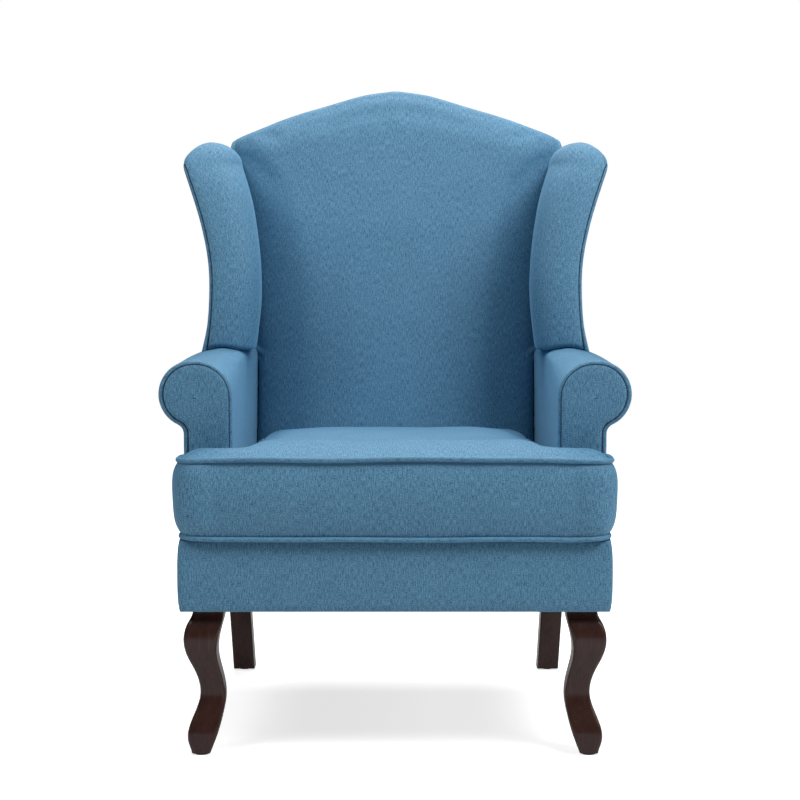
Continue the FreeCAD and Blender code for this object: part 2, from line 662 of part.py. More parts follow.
# Camel back: each station gives the distance from the middle, as a share of the shoulder's, and the
# drop from the crest.
CREST_SHAPE = [
    (0.0, 0.0),
    (0.215, 8.7),
    (0.458, 31.0),
    (0.698, 55.0),
    (0.86, 75.0),
    (0.958, 91.0),
    (1.0, 112.0),
]
BACK_BOTTOM_N = 88.0  # inside back at the deck, ahead of the outside back
BACK_BELLY_N = 97.0
BACK_TOP_N = 86.0
BACK_CROWN = 11.0
BACK_ROUND = 34.0
BELLY_RISE = 18.0  # fullest part of the back above the arms
CROWN_SHARE = 0.71  # width of the crowned middle, as a share of the back
belly_z = ARM_HEIGHT + BELLY_RISE
back_bottom = DECK_HEIGHT + CLEAR
back_half = NOTCH_X - CLEAR
crest_stations = [(share * back_half, drop) for share, drop in CREST_SHAPE]


def back_section(x, drop):
    """The padded inside back at one distance from the middle, seen from the side."""
    top = CREST_HEIGHT - drop
    crown = BACK_CROWN * max(0.0, 1 - (x / back_half / CROWN_SHARE) ** 2)
    shoulder_z = top - BACK_ROUND
    top_n = BACK_TOP_N
    rear_low = Vector(x, rear_y(back_bottom, panel_rear), back_bottom)
    front_low = Vector(x, rear_y(back_bottom, BACK_BOTTOM_N), back_bottom)
    belly = Vector(x, rear_y(belly_z, BACK_BELLY_N + crown), belly_z)
    front_top = Vector(x, rear_y(shoulder_z, top_n), shoulder_z)
    crest = Vector(x, rear_y(top, (top_n + panel_rear) / 2), top)
    rear_top = Vector(x, rear_y(shoulder_z, panel_rear), shoulder_z)
    front = arc_through(front_low, belly, front_top)
    over = arc_through(front_top, crest, rear_top)
    return Part.Wire([line(rear_low, front_low), front, over, line(rear_top, rear_low)])


left_stations = [(-x, drop) for x, drop in reversed(crest_stations[1:])]
back_sections = [back_section(x, drop) for x, drop in left_stations + crest_stations]
back_loft = Part.makeLoft(back_sections, True, False)


def crest_line(lowered, half, end_z):
    """An outline under the crest from the right end to the left end, with a round middle."""
    right = [(x, CREST_HEIGHT - lowered - drop) for x, drop in crest_stations[1:-1] if x < half]
    right.append((half, end_z))
    points = [Vector(x, 0, z) for x, z in reversed(right)]
    edges = [line(a, b) for a, b in zip(points, points[1:])]
    crest = Vector(0, 0, CREST_HEIGHT - lowered)
    inner = points[-1]
    edges.append(arc_through(inner, crest, Vector(-inner.x, 0, inner.z)))
    others = [Vector(-x, 0, z) for x, z in right]
    edges.extend([line(a, b) for a, b in zip(others, others[1:])])
    return edges


def crest_plate(edges, bottom):
    """A flat plate under a crest outline, thick enough for the raked back to be cut from it."""
    right = edges[0].Vertexes[0].Point
    half = right.x
    low_right = Vector(half, 0, bottom)
    low_left = Vector(-half, 0, bottom)
    left = Vector(-half, 0, right.z)
    wire = Part.Wire(edges + [line(left, low_left), line(low_left, low_right), line(low_right, right)])
    face = Part.Face(wire)
    face.translate(Vector(0, -OVERALL_DEPTH, 0))
    return face.extrude(Vector(0, 2 * OVERALL_DEPTH, 0))


# Frame of the back between the posts.
CREST_COVER = 30.0  # padding over the crest rail
CREST_RAIL = 75.0
CREST_RAIL_REAR = 12.0
CREST_RAIL_FRONT = 40.0
CREST_END_DROP = 80.0
crest_end = CREST_HEIGHT - CREST_COVER - CREST_END_DROP
under_crest = crest_plate(crest_line(CREST_COVER, POST_IN, crest_end), 0)
rail_under_line = crest_line(CREST_COVER + CREST_RAIL, POST_IN, crest_end - CREST_RAIL)
below_rail = crest_plate(rail_under_line, -CREST_HEIGHT)
rail_slab = raked_slab(-POST_IN, POST_IN, RAIL_TOP, CREST_HEIGHT, CREST_RAIL_REAR, CREST_RAIL_FRONT)
crest_rail = under_crest.common(rail_slab).cut(below_rail)
LUMBAR_HEIGHT = 50.0
LOWER_RISE = 26.0  # lower back rail above the deck
LOWER_HEIGHT = 40.0


def back_cross_rail(z, height):
    """A level rail between the two posts."""
    return raked_slab(-POST_IN, POST_IN, z, z + height, CREST_RAIL_REAR, CREST_RAIL_FRONT)


lumbar_rail = back_cross_rail(belly_z, LUMBAR_HEIGHT)
lower_rail = back_cross_rail(DECK_HEIGHT + LOWER_RISE, LOWER_HEIGHT)

# Elastic webbing across the posts.
STRAP = 55.0
STRAP_THICK = 1.6
LOW_STRAP_SHARES = (0.25, 0.52)  # between the deck and the arms
HIGH_STRAP_SHARES = (0.06, 0.28, 0.5)  # between the arms and the crest
strap_half = POST_IN + POST_WIDTH / 2
strap_heights = [DECK_HEIGHT + (ARM_HEIGHT - DECK_HEIGHT) * share for share in LOW_STRAP_SHARES]
strap_heights += [ARM_HEIGHT + (CREST_HEIGHT - ARM_HEIGHT) * share for share in HIGH_STRAP_SHARES]
straps = []
for z in strap_heights:
    strap_n = POST_FRONT + half_gap
    straps.append(raked_slab(-strap_half, strap_half, z, z + STRAP, strap_n, strap_n + STRAP_THICK))

# Padded inside back: full width above the arms, between the arms below them.
back_hollow = crest_plate(crest_line(CREST_COVER - CLEAR, POST_IN, crest_end + CLEAR), 0)
back_hollow = back_hollow.common(raked_slab(-LONG, LONG, 0, LONG, -LONG, behind_posts))
inside_back = back_loft.cut(back_hollow)
for side in (-1, 1):
    x0 = min(side * POST_IN, side * LONG)
    x1 = max(side * POST_IN, side * LONG)
    inside_back = inside_back.cut(raked_slab(x0, x1, 0, post_top + CLEAR, -LONG, behind_posts))
    x0 = min(side * (ARM_IN - CLEAR), side * LONG)
    x1 = max(side * (ARM_IN - CLEAR), side * LONG)
    inside_back = inside_back.cut(box(x0, x1, -LONG, LONG, 0, ARM_HEIGHT + CLEAR))

# Outside back panel.
outside_outline = crest_line(PANEL_DROP, HALF_WIDTH, board_top)
outside_back = crest_plate(outside_outline, LEG_HEIGHT)
outside_back = outside_back.common(raked_slab(-LONG, LONG, LEG_HEIGHT, LONG, 0, PANEL))

# Front border, with rounded ends.
front_border = box(-HALF_WIDTH, HALF_WIDTH, Y_FRONT, Y_FRONT + BORDER, LEG_HEIGHT, DECK_HEIGHT - CLEAR)
BORDER_ROUND = 6.0
ends = []
for edge in front_border.Edges:
    middle = edge.CenterOfMass
    if abs(middle.y - Y_FRONT) < CLEAR and abs(middle.x) > WOOD_HALF:
        ends.append(edge)
front_border = front_border.makeFillet(BORDER_ROUND, ends)

# Deck pad over the springs: wide in front of the arms, narrow between them.
deck_out = WOOD_HALF - CLEAR
deck_in = ARM_IN - CLEAR
deck_front = Y_FRONT + BORDER + CLEAR
deck_step = BOARD_Y - CLEAR
deck_rear = rear_y(DECK_HEIGHT - DECK_PAD, PANEL + CLEAR)
deck_plan = [
    (-deck_out, deck_front),
    (deck_out, deck_front),
    (deck_out, deck_step),
    (deck_in, deck_step),
    (deck_in, deck_rear),
    (-deck_in, deck_rear),
    (-deck_in, deck_step),
    (-deck_out, deck_step),
]
deck_pad = polygon_xy(deck_plan, DECK_HEIGHT - DECK_PAD, DECK_HEIGHT)

# Sinuous springs from the front rail to the back rail, each held by a clip at both ends.
WIRE = 3.8
SPRINGS = 5
SPRING_RUNS = 16
SPRING_HALF = 30.0
CLIP_WIDTH = 20.0
CLIP_DEPTH = 12.0
CLIP_HEIGHT = 5.7
spring_z = RAIL_TOP + CLIP_HEIGHT / 2
spring_front = rail_front + RAIL_THICK / 2
spring_rear = rear_y(RAIL_TOP, (BACK_RAIL_REAR + back_rail_front) / 2)
spring_pitch = (spring_rear - spring_front) / SPRING_RUNS
spring_step = 2 * (POST_IN - SPRING_HALF) / SPRINGS
springs = []
clips = []
for number in range(SPRINGS):
    x = (number - (SPRINGS - 1) / 2) * spring_step
    points = []
    for run in range(SPRING_RUNS + 1):
        y = spring_front + run * spring_pitch
        side = 1 if run % 2 else -1
        points.append(Vector(x + side * SPRING_HALF, y, spring_z))
        points.append(Vector(x - side * SPRING_HALF, y, spring_z))
    springs.append(cord(rounded_path(points, [spring_pitch / 2] * len(points)), WIRE))
    for y in (spring_front, spring_rear):
        corner = Vector(x - CLIP_WIDTH / 2, y - CLIP_DEPTH / 2, RAIL_TOP)
        clip = Part.makeBox(CLIP_WIDTH, CLIP_DEPTH, CLIP_HEIGHT, corner)
        middle = Vector(x, y, spring_z)
        across = Vector(SPRING_HALF, 0, 0)
        clips.append(clip.cut(rod(WIRE / 2 + CLEAR / 2, middle - across, middle + across)))
print("least gap between neighbouring runs of a spring:", round(spring_pitch - WIRE, 1))

# Dust cover under the seat, cut out around the legs.
cover_half = WOOD_HALF - CLEAR
cover_front = rail_front + CLEAR
cover_rear = rear_y(LEG_HEIGHT, PANEL + CLEAR)
dust_cover = box(-cover_half, cover_half, cover_front, cover_rear, LEG_HEIGHT + CLEAR, RAIL_BOTTOM - CLEAR)
LEG_MARGIN = 3.0
block_share, block_outer, block_inner = LEG_STATIONS[-1]
hole_x0 = HALF_WIDTH - block_inner - LEG_MARGIN
hole_x1 = HALF_WIDTH - block_outer + LEG_MARGIN
hole_y0 = Y_FRONT + block_outer - LEG_MARGIN
hole_y1 = Y_FRONT + block_inner + LEG_MARGIN
leg_hole = box(hole_x0, hole_x1, hole_y0, hole_y1, LEG_HEIGHT - CLEAR, RAIL_BOTTOM)
rear_hole = box(
    rear_leg_x - REAR_LEG - LEG_MARGIN,
    rear_leg_x + LEG_MARGIN,
    rear_leg_y - REAR_LEG - LEG_MARGIN,
    LONG,
    LEG_HEIGHT - CLEAR,
    RAIL_BOTTOM,
)
for hole in (leg_hole, rear_hole):
    dust_cover = dust_cover.cut(hole).cut(mirrored(hole))

# Loose seat cushion, T-shaped in plan, with ears in front of the arms.
seam_low = DECK_HEIGHT + CLEAR + WELT / 2
seam_high = seam_low + CUSHION_THICKNESS
seam_middle = (seam_low + seam_high) / 2
SIDE_BULGE = 8.0
REAR_BULGE = 3.0
EAR_ROUND = 22.0
CORNER_ROUND = 12.0
NOTCH_ROUND = 15.0
UNDER_EDGE = 6.0
SEAM_ROOM = WELT + CLEAR
seam_front = Y_FRONT - SEAM_PROUD
FACING_WELT_PROUD = 1.5  # arm welt in front of its facing
EAR_IN = 2.0  # ear seam inside the side of the seat
seam_notch = FACING_Y - FACING_WELT_PROUD - SLIDE_CLEAR - SEAM_ROOM
seam_ear = HALF_WIDTH - EAR_IN
seam_body = ARM_IN - SLIDE_CLEAR - SEAM_ROOM
BACK_GAP = 3.0
seam_rear_low = rear_y(seam_low, BACK_BOTTOM_N) - SEAM_ROOM - BACK_GAP
seam_rear_high = rear_y(seam_high, BACK_BELLY_N + BACK_CROWN) - SEAM_ROOM + BACK_GAP


def cushion_outline(z, rear, out, rear_out):
    """The T-shaped outline at height z, moved outwards from the seam by out."""
    front = seam_front - out
    notch = seam_notch + out
    ear = seam_ear + out
    body = seam_body + out
    back = rear + rear_out
    corners = [
        (-ear, front, EAR_ROUND + out),
        (ear, front, EAR_ROUND + out),
        (ear, notch, CORNER_ROUND + out),
        (body, notch, NOTCH_ROUND - out),
        (body, back, CORNER_ROUND + out),
        (-body, back, CORNER_ROUND + out),
        (-body, notch, NOTCH_ROUND - out),
        (-ear, notch, CORNER_ROUND + out),
    ]
    points = [Vector(x, y, z) for x, y, trim in corners]
    trims = [trim for x, y, trim in corners]
    return rounded_path(points, trims, True)


CROWN_SHAPE = [(0.0, 0.0), (0.1, 0.45), (0.3, 0.9), (0.55, 1.0), (0.8, 0.85), (1.0, 0.5)]
EDGE_RISE = 1.0  # top panel over the seam at its front edge


def crown_body(inset):
    """Everything under the crowned top of the cushion."""
    wires = []
    half = seam_ear + SIDE_BULGE + CLEAR
    for along, share in CROWN_SHAPE:
        y = seam_front - SIDE_BULGE + along * (seam_rear_high + SIDE_BULGE * 2 - seam_front)
        edge = seam_high + EDGE_RISE - inset
        rise = EDGE_RISE + (CUSHION_CROWN - 2 * EDGE_RISE) * share
        left = Vector(-half, y, edge)
        right = Vector(half, y, edge)
        low_left = Vector(-half, y, DECK_HEIGHT - DECK_PAD)
        low_right = Vector(half, y, DECK_HEIGHT - DECK_PAD)
        top = arc_through(right, Vector(0, y, edge + rise), left)
        edges = [line(low_left, low_right), line(low_right, right), top, line(left, low_left)]
        wires.append(Part.Wire(edges))
    return Part.makeLoft(wires, True, False)


def cushion_body(inset):
    """The cushion's soft form, set inwards on all sides."""
    bottom = DECK_HEIGHT + CLEAR + inset
    under = cushion_outline(bottom, seam_rear_low, -UNDER_EDGE - inset, -UNDER_EDGE - inset)
    low = cushion_outline(seam_low + inset / 2, seam_rear_low, -inset, -inset)
    rear_middle = (seam_rear_low + seam_rear_high) / 2
    middle = cushion_outline(seam_middle, rear_middle, SIDE_BULGE - inset, REAR_BULGE - inset)
    high = cushion_outline(seam_high, seam_rear_high, -inset, -inset)
    base = Part.makeLoft([under, low], True, True)
    sides = Part.makeLoft([low, middle, high], True, False)
    cap = Part.Face(high).extrude(Vector(0, 0, 2 * CUSHION_CROWN))
    return base.fuse(sides).fuse(cap).common(crown_body(inset))


cushion_outer = cushion_body(0)
cushion_inner = cushion_body(COVER)
cushion_core = cushion_body(COVER + CLEAR)
cushion_cover = cushion_outer.cut(cushion_inner)
big = 2 * OVERALL_DEPTH


def between(z0, z1):
    return box(-big, big, -big, big, z0, z1)


top_panel = cushion_cover.common(between(seam_high + half_gap, LONG))
boxing = cushion_cover.common(between(seam_low + half_gap, seam_high - half_gap))
bottom_panel = cushion_cover.common(between(0, seam_low - half_gap))
welt_out = WELT / 2 + CLEAR
low_welt = cord(cushion_outline(seam_low, seam_rear_low, welt_out, welt_out), WELT)
high_welt = cord(cushion_outline(seam_high, seam_rear_high, welt_out, welt_out), WELT)

# Zip in the rear boxing of the cushion, and its slider.
ZIP_END = 60.0  # from the corner of the cushion to the end of the zip
ZIP_TAPE = 26.0
ZIP_THICK = 1.2
ZIP_STAND = 0.8  # from the fullest part of the rear boxing to the zip tape
CHAIN = 6.0
CHAIN_THICK = 1.4
zip_half = seam_body - ZIP_END
zip_low = seam_middle - ZIP_TAPE / 2
chain_low = seam_middle - CHAIN / 2
zip_y = (seam_rear_low + seam_rear_high) / 2 + REAR_BULGE + ZIP_STAND
zip_tape = box(-zip_half, zip_half, zip_y, zip_y + ZIP_THICK, zip_low, zip_low + ZIP_TAPE)
chain_y = zip_y + ZIP_THICK
chain = box(-zip_half, zip_half, chain_y, chain_y + CHAIN_THICK, chain_low, chain_low + CHAIN)
cushion_zip = zip_tape.fuse(chain).removeSplitter()
SLIDER_LENGTH = 12.0
SLIDER_HEIGHT = 10.0
SLIDER_THICK = 1.6
PULL = 24.0
PULL_WIDTH = 7.0
PULL_THICK = 1.2
plate_y = chain_y + CHAIN_THICK + CLEAR
pull_y = plate_y + SLIDER_THICK
slider_x = zip_half - SLIDER_LENGTH
slider_end = slider_x + SLIDER_LENGTH
slider_low = seam_middle - SLIDER_HEIGHT / 2
slider_high = slider_low + SLIDER_HEIGHT
guide_y = chain_y + CLEAR
plate = box(slider_x, slider_end, plate_y, pull_y, slider_low, slider_high)
low_guide = box(slider_x, slider_end, guide_y, plate_y, slider_low, chain_low - CLEAR)
high_guide = box(slider_x, slider_end, guide_y, plate_y, chain_low + CHAIN + CLEAR, slider_high)
pull_x = (slider_x + slider_end - PULL_WIDTH) / 2
pull = box(pull_x, pull_x + PULL_WIDTH, pull_y, pull_y + PULL_THICK, seam_middle - PULL, seam_middle)
zip_slider = plate.multiFuse([low_guide, high_guide, pull]).removeSplitter()

# Writing the pieces.
save("front_rail", front_rail)
save("back_rail", back_rail)
save_pair("side_rail", side_rail)
blocks = [front_block, mirrored(front_block), rear_block, mirrored(rear_block)]
save("corner_blocks", Part.makeCompound(blocks))
save("corner_block_screws", Part.makeCompound(block_screws + [mirrored(s) for s in block_screws]))
save_pair("back_post", back_post)
save("crest_rail", crest_rail)
save("lumbar_rail", lumbar_rail)
save("lower_back_rail", lower_rail)
save_pair("arm_stump", stump)
save_pair("arm_rail", arm_rail)
save_pair("scroll_board", scroll_board)
save_pair("arm_liner", arm_liner)
save_pair("wing_board", wing_board)
save("wing_screws", Part.makeCompound(wing_screws + [mirrored(s) for s in wing_screws]))
save("seat_springs", Part.makeCompound(springs))
save("spring_clips", Part.makeCompound(clips))
save("back_webbing", Part.makeCompound(straps))
save("deck_pad", deck_pad)
save("inside_back", inside_back)
save("outside_back", outside_back)
save_pair("wing_pad", wing_pad)
save_pair("outside_wing", outside_wing)
save_pair("wing_welt", wing_welt)
save_pair("arm_pad", arm_pad)
save_pair("outside_arm", side_panel)
save_pair("arm_facing", arm_facing)
save_pair("arm_welt", arm_welt)
save("front_border", front_border)
save("dust_cover", dust_cover)
save_pair("front_leg", front_leg)
save_pair("rear_leg", rear_leg)
save("leg_bolts", Part.makeCompound(bolts + [mirrored(b) for b in bolts]))
save("leg_nuts", Part.makeCompound([nut_set, mirrored(nut_set)]))
save("floor_glides", Part.makeCompound(glides + [mirrored(g) for g in glides]))
save("cushion_core", cushion_core)
save("cushion_top_panel", top_panel)
save("cushion_boxing", boxing)
save("cushion_bottom_panel", bottom_panel)
save("cushion_top_welt", high_welt)
save("cushion_bottom_welt", low_welt)
save("cushion_zip", cushion_zip)
save("zip_slider", zip_slider)
print("pieces", count)
print("box", chair_box)
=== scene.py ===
# %% [markdown]
# # A wing armchair in woven blue cloth
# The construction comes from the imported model: a wooden frame with springs, legs and a loose cushion.
# This lesson dresses it. Every padded piece is rebuilt as upholstery, every seam gets its welt, and
# every surface gets a finish of its own. All sizes are in metres, in the frame of the construction.

# %% Load the construction
import json
import math

import bmesh
import bpy
import numpy as np
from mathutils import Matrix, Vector, noise


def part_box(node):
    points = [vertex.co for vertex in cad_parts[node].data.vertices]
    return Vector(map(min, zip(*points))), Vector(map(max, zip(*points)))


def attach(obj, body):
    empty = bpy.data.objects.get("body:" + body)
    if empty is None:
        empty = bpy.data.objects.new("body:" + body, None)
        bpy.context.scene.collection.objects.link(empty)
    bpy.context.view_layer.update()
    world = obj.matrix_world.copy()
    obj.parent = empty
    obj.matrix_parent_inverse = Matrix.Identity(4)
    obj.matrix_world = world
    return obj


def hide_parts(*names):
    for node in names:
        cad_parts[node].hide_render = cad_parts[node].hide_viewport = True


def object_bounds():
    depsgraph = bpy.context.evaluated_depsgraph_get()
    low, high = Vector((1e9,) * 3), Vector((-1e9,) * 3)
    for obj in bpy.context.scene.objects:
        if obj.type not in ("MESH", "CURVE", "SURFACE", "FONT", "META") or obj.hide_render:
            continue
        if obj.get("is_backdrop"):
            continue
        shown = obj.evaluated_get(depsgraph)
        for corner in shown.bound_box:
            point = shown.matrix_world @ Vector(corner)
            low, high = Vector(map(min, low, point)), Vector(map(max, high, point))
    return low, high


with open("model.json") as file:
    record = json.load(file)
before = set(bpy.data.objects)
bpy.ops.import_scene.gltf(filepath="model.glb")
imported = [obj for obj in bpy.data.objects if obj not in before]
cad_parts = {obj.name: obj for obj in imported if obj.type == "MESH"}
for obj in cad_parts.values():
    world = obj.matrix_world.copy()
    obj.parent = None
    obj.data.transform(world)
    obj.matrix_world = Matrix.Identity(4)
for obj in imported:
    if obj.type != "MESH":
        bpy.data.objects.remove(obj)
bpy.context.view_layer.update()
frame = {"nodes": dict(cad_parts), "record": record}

MM = 0.001
nodes = frame["nodes"]

# %% [markdown]
# ## Where things are
# The frame already says where the upholstery goes: the border gives the width and the front of the
# seat, the arm pad gives the arm, and the outside back gives the lean of the back. Reading these
# places, instead of writing them again, keeps the looks on the construction when a size changes.

# %% Places on the frame
border_low, border_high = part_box("front_border")
deck_low, deck_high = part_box("deck_pad")
arm_low, arm_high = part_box("right_arm_pad")
facing_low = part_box("right_arm_facing")[0]
arm_welt_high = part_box("right_arm_welt")[1]
panel_low, panel_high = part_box("outside_back")
crest_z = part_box("inside_back")[1].z
seat_half = border_high.x
seat_front = border_low.y
seat_bottom = border_low.z
deck_z = deck_high.z
arm_in = arm_low.x
arm_out = arm_high.x
arm_front_z = arm_welt_high.z
arm_rear_z = arm_high.z
board_y = arm_low.y
back_foot_y = max(v.co.y for v in nodes["outside_back"].data.vertices if v.co.z < panel_low.z + MM)
lean = (panel_high.y - back_foot_y) / (panel_high.z - panel_low.z)
lean_cos = 1 / math.sqrt(1 + lean ** 2)


def rear_y(z, ahead):
    """Depth of the plane that lies ahead of the leaning outside back, at height z."""
    return back_foot_y + (z - panel_low.z) * lean - ahead / lean_cos


print("seat half width", round(seat_half, 4), "lean", round(math.degrees(math.atan(lean)), 2))

# %% [markdown]
# ## The camera
# The photograph was taken from straight ahead, a little above the arms, with a long lens. The camera
# stands there and tilts down slightly. A tilt is kinder than lens shift, because other views keep it.

# %% Camera
CAMERA_AHEAD = 2.716  # from the border face
CAMERA_SIDE = 0.0078
CAMERA_HEIGHT = 0.7558
CAMERA_TILT = math.atan(0.0702)
CAMERA_LENS = 79.07
CAMERA_SENSOR = 36
camera_data = bpy.data.cameras.new("camera")
camera_data.lens = CAMERA_LENS
camera_data.sensor_width = CAMERA_SENSOR
camera = bpy.data.objects.new("camera", camera_data)
bpy.context.scene.collection.objects.link(camera)
camera.location = (CAMERA_SIDE, seat_front - CAMERA_AHEAD, CAMERA_HEIGHT)
camera.rotation_euler = (math.pi / 2 - CAMERA_TILT, 0, 0)
bpy.context.scene.camera = camera
print("camera at", [round(c, 3) for c in camera.location])

# %% [markdown]
# ## Helpers for soft work
# Upholstery is cloth drawn over a form, so its lines are smooth. They could be drawn by hand, but a
# smooth curve through a few measured places keeps the two sides of the chair alike. Lengths measured
# along the cloth give it a map in metres, so that the weave has its real size on every piece.

# %% Smooth curves and lengths of cloth


def ramp(value, start, end):
    """Share of the way from start to end, held at 0 and at 1."""
    return np.clip((value - start) / (end - start), 0, 1)


def soft_step(share):
    """The same share with soft ends."""
    return share ** 2 * (3 - 2 * share)


def flow(where, places, values):
    """A smooth curve through pairs of place and value."""
    places = np.asarray(places, float)
    values = np.asarray(values, float)
    where = np.clip(where, places[0], places[-1])
    slopes = np.gradient(values, places)
    i = np.clip(np.searchsorted(places, where) - 1, 0, len(places) - 2)
    step = places[i + 1] - places[i]
    t = (where - places[i]) / step
    start = (2 * t ** 3 - 3 * t ** 2 + 1) * values[i] + (t ** 3 - 2 * t ** 2 + t) * step * slopes[i]
    end = (3 * t ** 2 - 2 * t ** 3) * values[i + 1] + (t ** 3 - t ** 2) * step * slopes[i + 1]
    return start + end


def lengths(grid, axis):
    """Distances along the cloth from the middle of a grid of points."""
    steps = np.linalg.norm(np.diff(grid, axis=axis), axis=2)
    total = np.cumsum(np.insert(steps, 0, 0, axis=axis), axis=axis)
    return total - np.take(total, [total.shape[axis] // 2], axis=axis)


print("a smooth curve through 0, 1 and 4 reads", round(float(flow(1.5, [0, 1, 2], [0, 1, 4])), 3))

# %% [markdown]
# ## From rings to cloth
# Each padded piece is a row of rings: closed outlines that follow each other along the piece. The
# quads between them follow from the order of the points, so no face is placed by hand. The ends are
# zipped shut across, points that fall together are welded, and all faces are turned outwards.

# %% New pieces
WELD = 0.02 * MM


def new_piece(name, points, faces, cloth_map, seam=()):
    """A mesh object with a map of the cloth, in metres; the faces numbered in seam take its second material,
    the painted seam shade.
    """
    mesh = bpy.data.meshes.new(name)
    mesh.from_pydata([tuple(p) for p in points], [], faces)
    # these faces carry the painted seam shade, a dark colour standing for the shadow beside a welt
    for k in seam:
        mesh.polygons[k].material_index = 1
    layer = mesh.uv_layers.new(name="cloth")
    corners = np.zeros(len(mesh.loops), int)
    mesh.loops.foreach_get("vertex_index", corners)
    layer.data.foreach_set("uv", np.asarray(cloth_map)[corners].astype(np.float32).ravel())
    work = bmesh.new()
    work.from_mesh(mesh)
    bmesh.ops.delete(work, geom=[v for v in work.verts if not v.link_faces], context="VERTS")
    bmesh.ops.remove_doubles(work, verts=work.verts, dist=WELD)
    bmesh.ops.recalc_face_normals(work, faces=work.faces)
    work.to_mesh(mesh)
    work.free()
    piece = bpy.data.objects.new(name, mesh)
    bpy.context.scene.collection.objects.link(piece)
    return piece


print("points nearer than", WELD / MM, "mm are welded")

# %% Pieces from rings


def ring_quads(count, around, joined=False):
    """Point numbers ring by ring, and the quads between neighbouring rings."""
    number = np.arange(count * around).reshape(count, around)
    quads = []
    for i in range(count if joined else count - 1):
        n = (i + 1) % count
        for j in range(around):
            k = (j + 1) % around
            quads.append((number[i, j], number[i, k], number[n, k], number[n, j]))
    return number, quads


def ringed(name, rings, turn_map=False, seam=()):
    """A closed piece from rings whose points k and last - k lie across from each other."""
    rings = np.asarray(rings)
    count, around = rings.shape[:2]
    number, faces = ring_quads(count, around)
    for end in (0, count - 1):
        for j in range(around // 2 - 1):
            k = around - 1 - j
            faces.append((number[end, j], number[end, j + 1], number[end, k - 1], number[end, k]))
    across = lengths(rings, 1)
    along = lengths(rings, 0)
    pair = (along, across) if turn_map else (across, along)
    return new_piece(name, rings.reshape(-1, 3), faces, np.stack(pair, axis=2).reshape(-1, 2), seam)


print("two rings of four points give", len(ring_quads(2, 4)[1]), "quads")

# %% [markdown]
# ## Panels and the other side
# A thin cover is two grids of points with a rim between them, as a cut panel has a face and a lining.
# Cells are left out where a leg or an arm passes. Both sides of the chair are alike, so a finished
# piece is mirrored, which is surer than drawing it twice.

# %% Panels and mirrored pieces


def slab(name, outer, inner, left_out=None):
    """A closed panel between an outer grid of points and an inner one; left_out(i, j) drops cells."""
    rows, columns = outer.shape[:2]
    count = rows * columns
    number = np.arange(count).reshape(rows, columns)
    quads = []
    for i in range(rows - 1):
        for j in range(columns - 1):
            if left_out is None or not left_out(i, j):
                quads.append((number[i, j], number[i, j + 1], number[i + 1, j + 1], number[i + 1, j]))
    sides = {(a, b) for quad in quads for a, b in zip(quad, quad[1:] + quad[:1])}
    rim = sorted((a, b) for a, b in sides if (b, a) not in sides)
    faces = quads + [tuple(n + count for n in reversed(quad)) for quad in quads]
    faces += [(b, a, a + count, b + count) for a, b in rim]
    cloth_map = np.stack((lengths(outer, 1), lengths(outer, 0)), axis=2).reshape(-1, 2)
    points = np.concatenate((outer.reshape(-1, 3), inner.reshape(-1, 3)))
    return new_piece(name, points, faces, np.concatenate((cloth_map, cloth_map)))


def mirror_piece(piece, name):
    """The same piece on the other side of the chair, with a mesh of its own."""
    mesh = piece.data.copy()
    work = bmesh.new()
    work.from_mesh(mesh)
    for v in work.verts:
        v.co.x = -v.co.x
    bmesh.ops.reverse_faces(work, faces=work.faces)
    work.to_mesh(mesh)
    work.free()
    other = bpy.data.objects.new(name, mesh)
    bpy.context.scene.collection.objects.link(other)
    return other


print("panels and mirrored pieces can be made")

# %% [markdown]
# ## Stuffing by simulation
# A real pad is a cover held at its seams and pushed out by the filling. Blender's Cloth does the same:
# the seams and the hidden side are pinned, pressure fills the closed piece, and after twenty frames
# the cover has found its shape. A limit on the movement keeps the piece inside the room it has.

# %% Points of a mesh


def places_of(mesh):
    """The points of a mesh as rows of numbers."""
    flat = np.zeros(len(mesh.vertices) * 3, np.float32)
    mesh.vertices.foreach_get("co", flat)
    return flat.reshape(-1, 3).astype(float)


def put_places(mesh, places):
    """Moves the points of a mesh to new places."""
    mesh.vertices.foreach_set("co", places.astype(np.float32).ravel())
    mesh.update()


print("first point of the border", places_of(nodes["front_border"].data)[0].round(3))

# %% Pressure
FRAMES = 20
CLOTH = {
    "quality": 5,
    "mass": 0.3,
    "tension_stiffness": 15,
    "compression_stiffness": 15,
    "bending_stiffness": 2,
    "use_pressure": True,
}


def stuff(piece, loose, pressure, most):
    """Fills a piece with pressure; only the loose points move, by no more than most."""
    scene = bpy.context.scene
    rest = places_of(piece.data)
    held = piece.vertex_groups.new(name="held")
    held.add([int(i) for i in np.where(~loose)[0]], 1.0, "REPLACE")
    cloth = piece.modifiers.new("stuffing", "CLOTH")
    for setting, value in CLOTH.items():
        setattr(cloth.settings, setting, value)
    cloth.settings.uniform_pressure_force = pressure
    cloth.settings.vertex_group_mass = held.name
    cloth.settings.effector_weights.gravity = 0
    cloth.collision_settings.use_collision = False
    for number in range(1, FRAMES + 1):
        scene.frame_set(number)
    graph = bpy.context.evaluated_depsgraph_get()
    moved = places_of(piece.evaluated_get(graph).data)
    piece.modifiers.remove(cloth)
    piece.vertex_groups.remove(held)
    scene.frame_set(1)
    step = moved - rest
    size = np.linalg.norm(step, axis=1, keepdims=True)
    step *= np.minimum(1, most / np.maximum(size, 1e-9))
    put_places(piece.data, rest + step)
    print(piece.name, "swelled by up to", round(float(np.minimum(size, most).max()) / MM, 1), "mm")


print("frames of filling", FRAMES)

# %% [markdown]
# ## Unevenness and rounding
# Hand-laid filling is never quite even, so a low and wide noise moves every point of a cover along
# its normal by a millimetre or two. Sculpting would do it too, but not the same way each time. One
# level of subdivision then rounds the faces.

# %% Settling and rounding


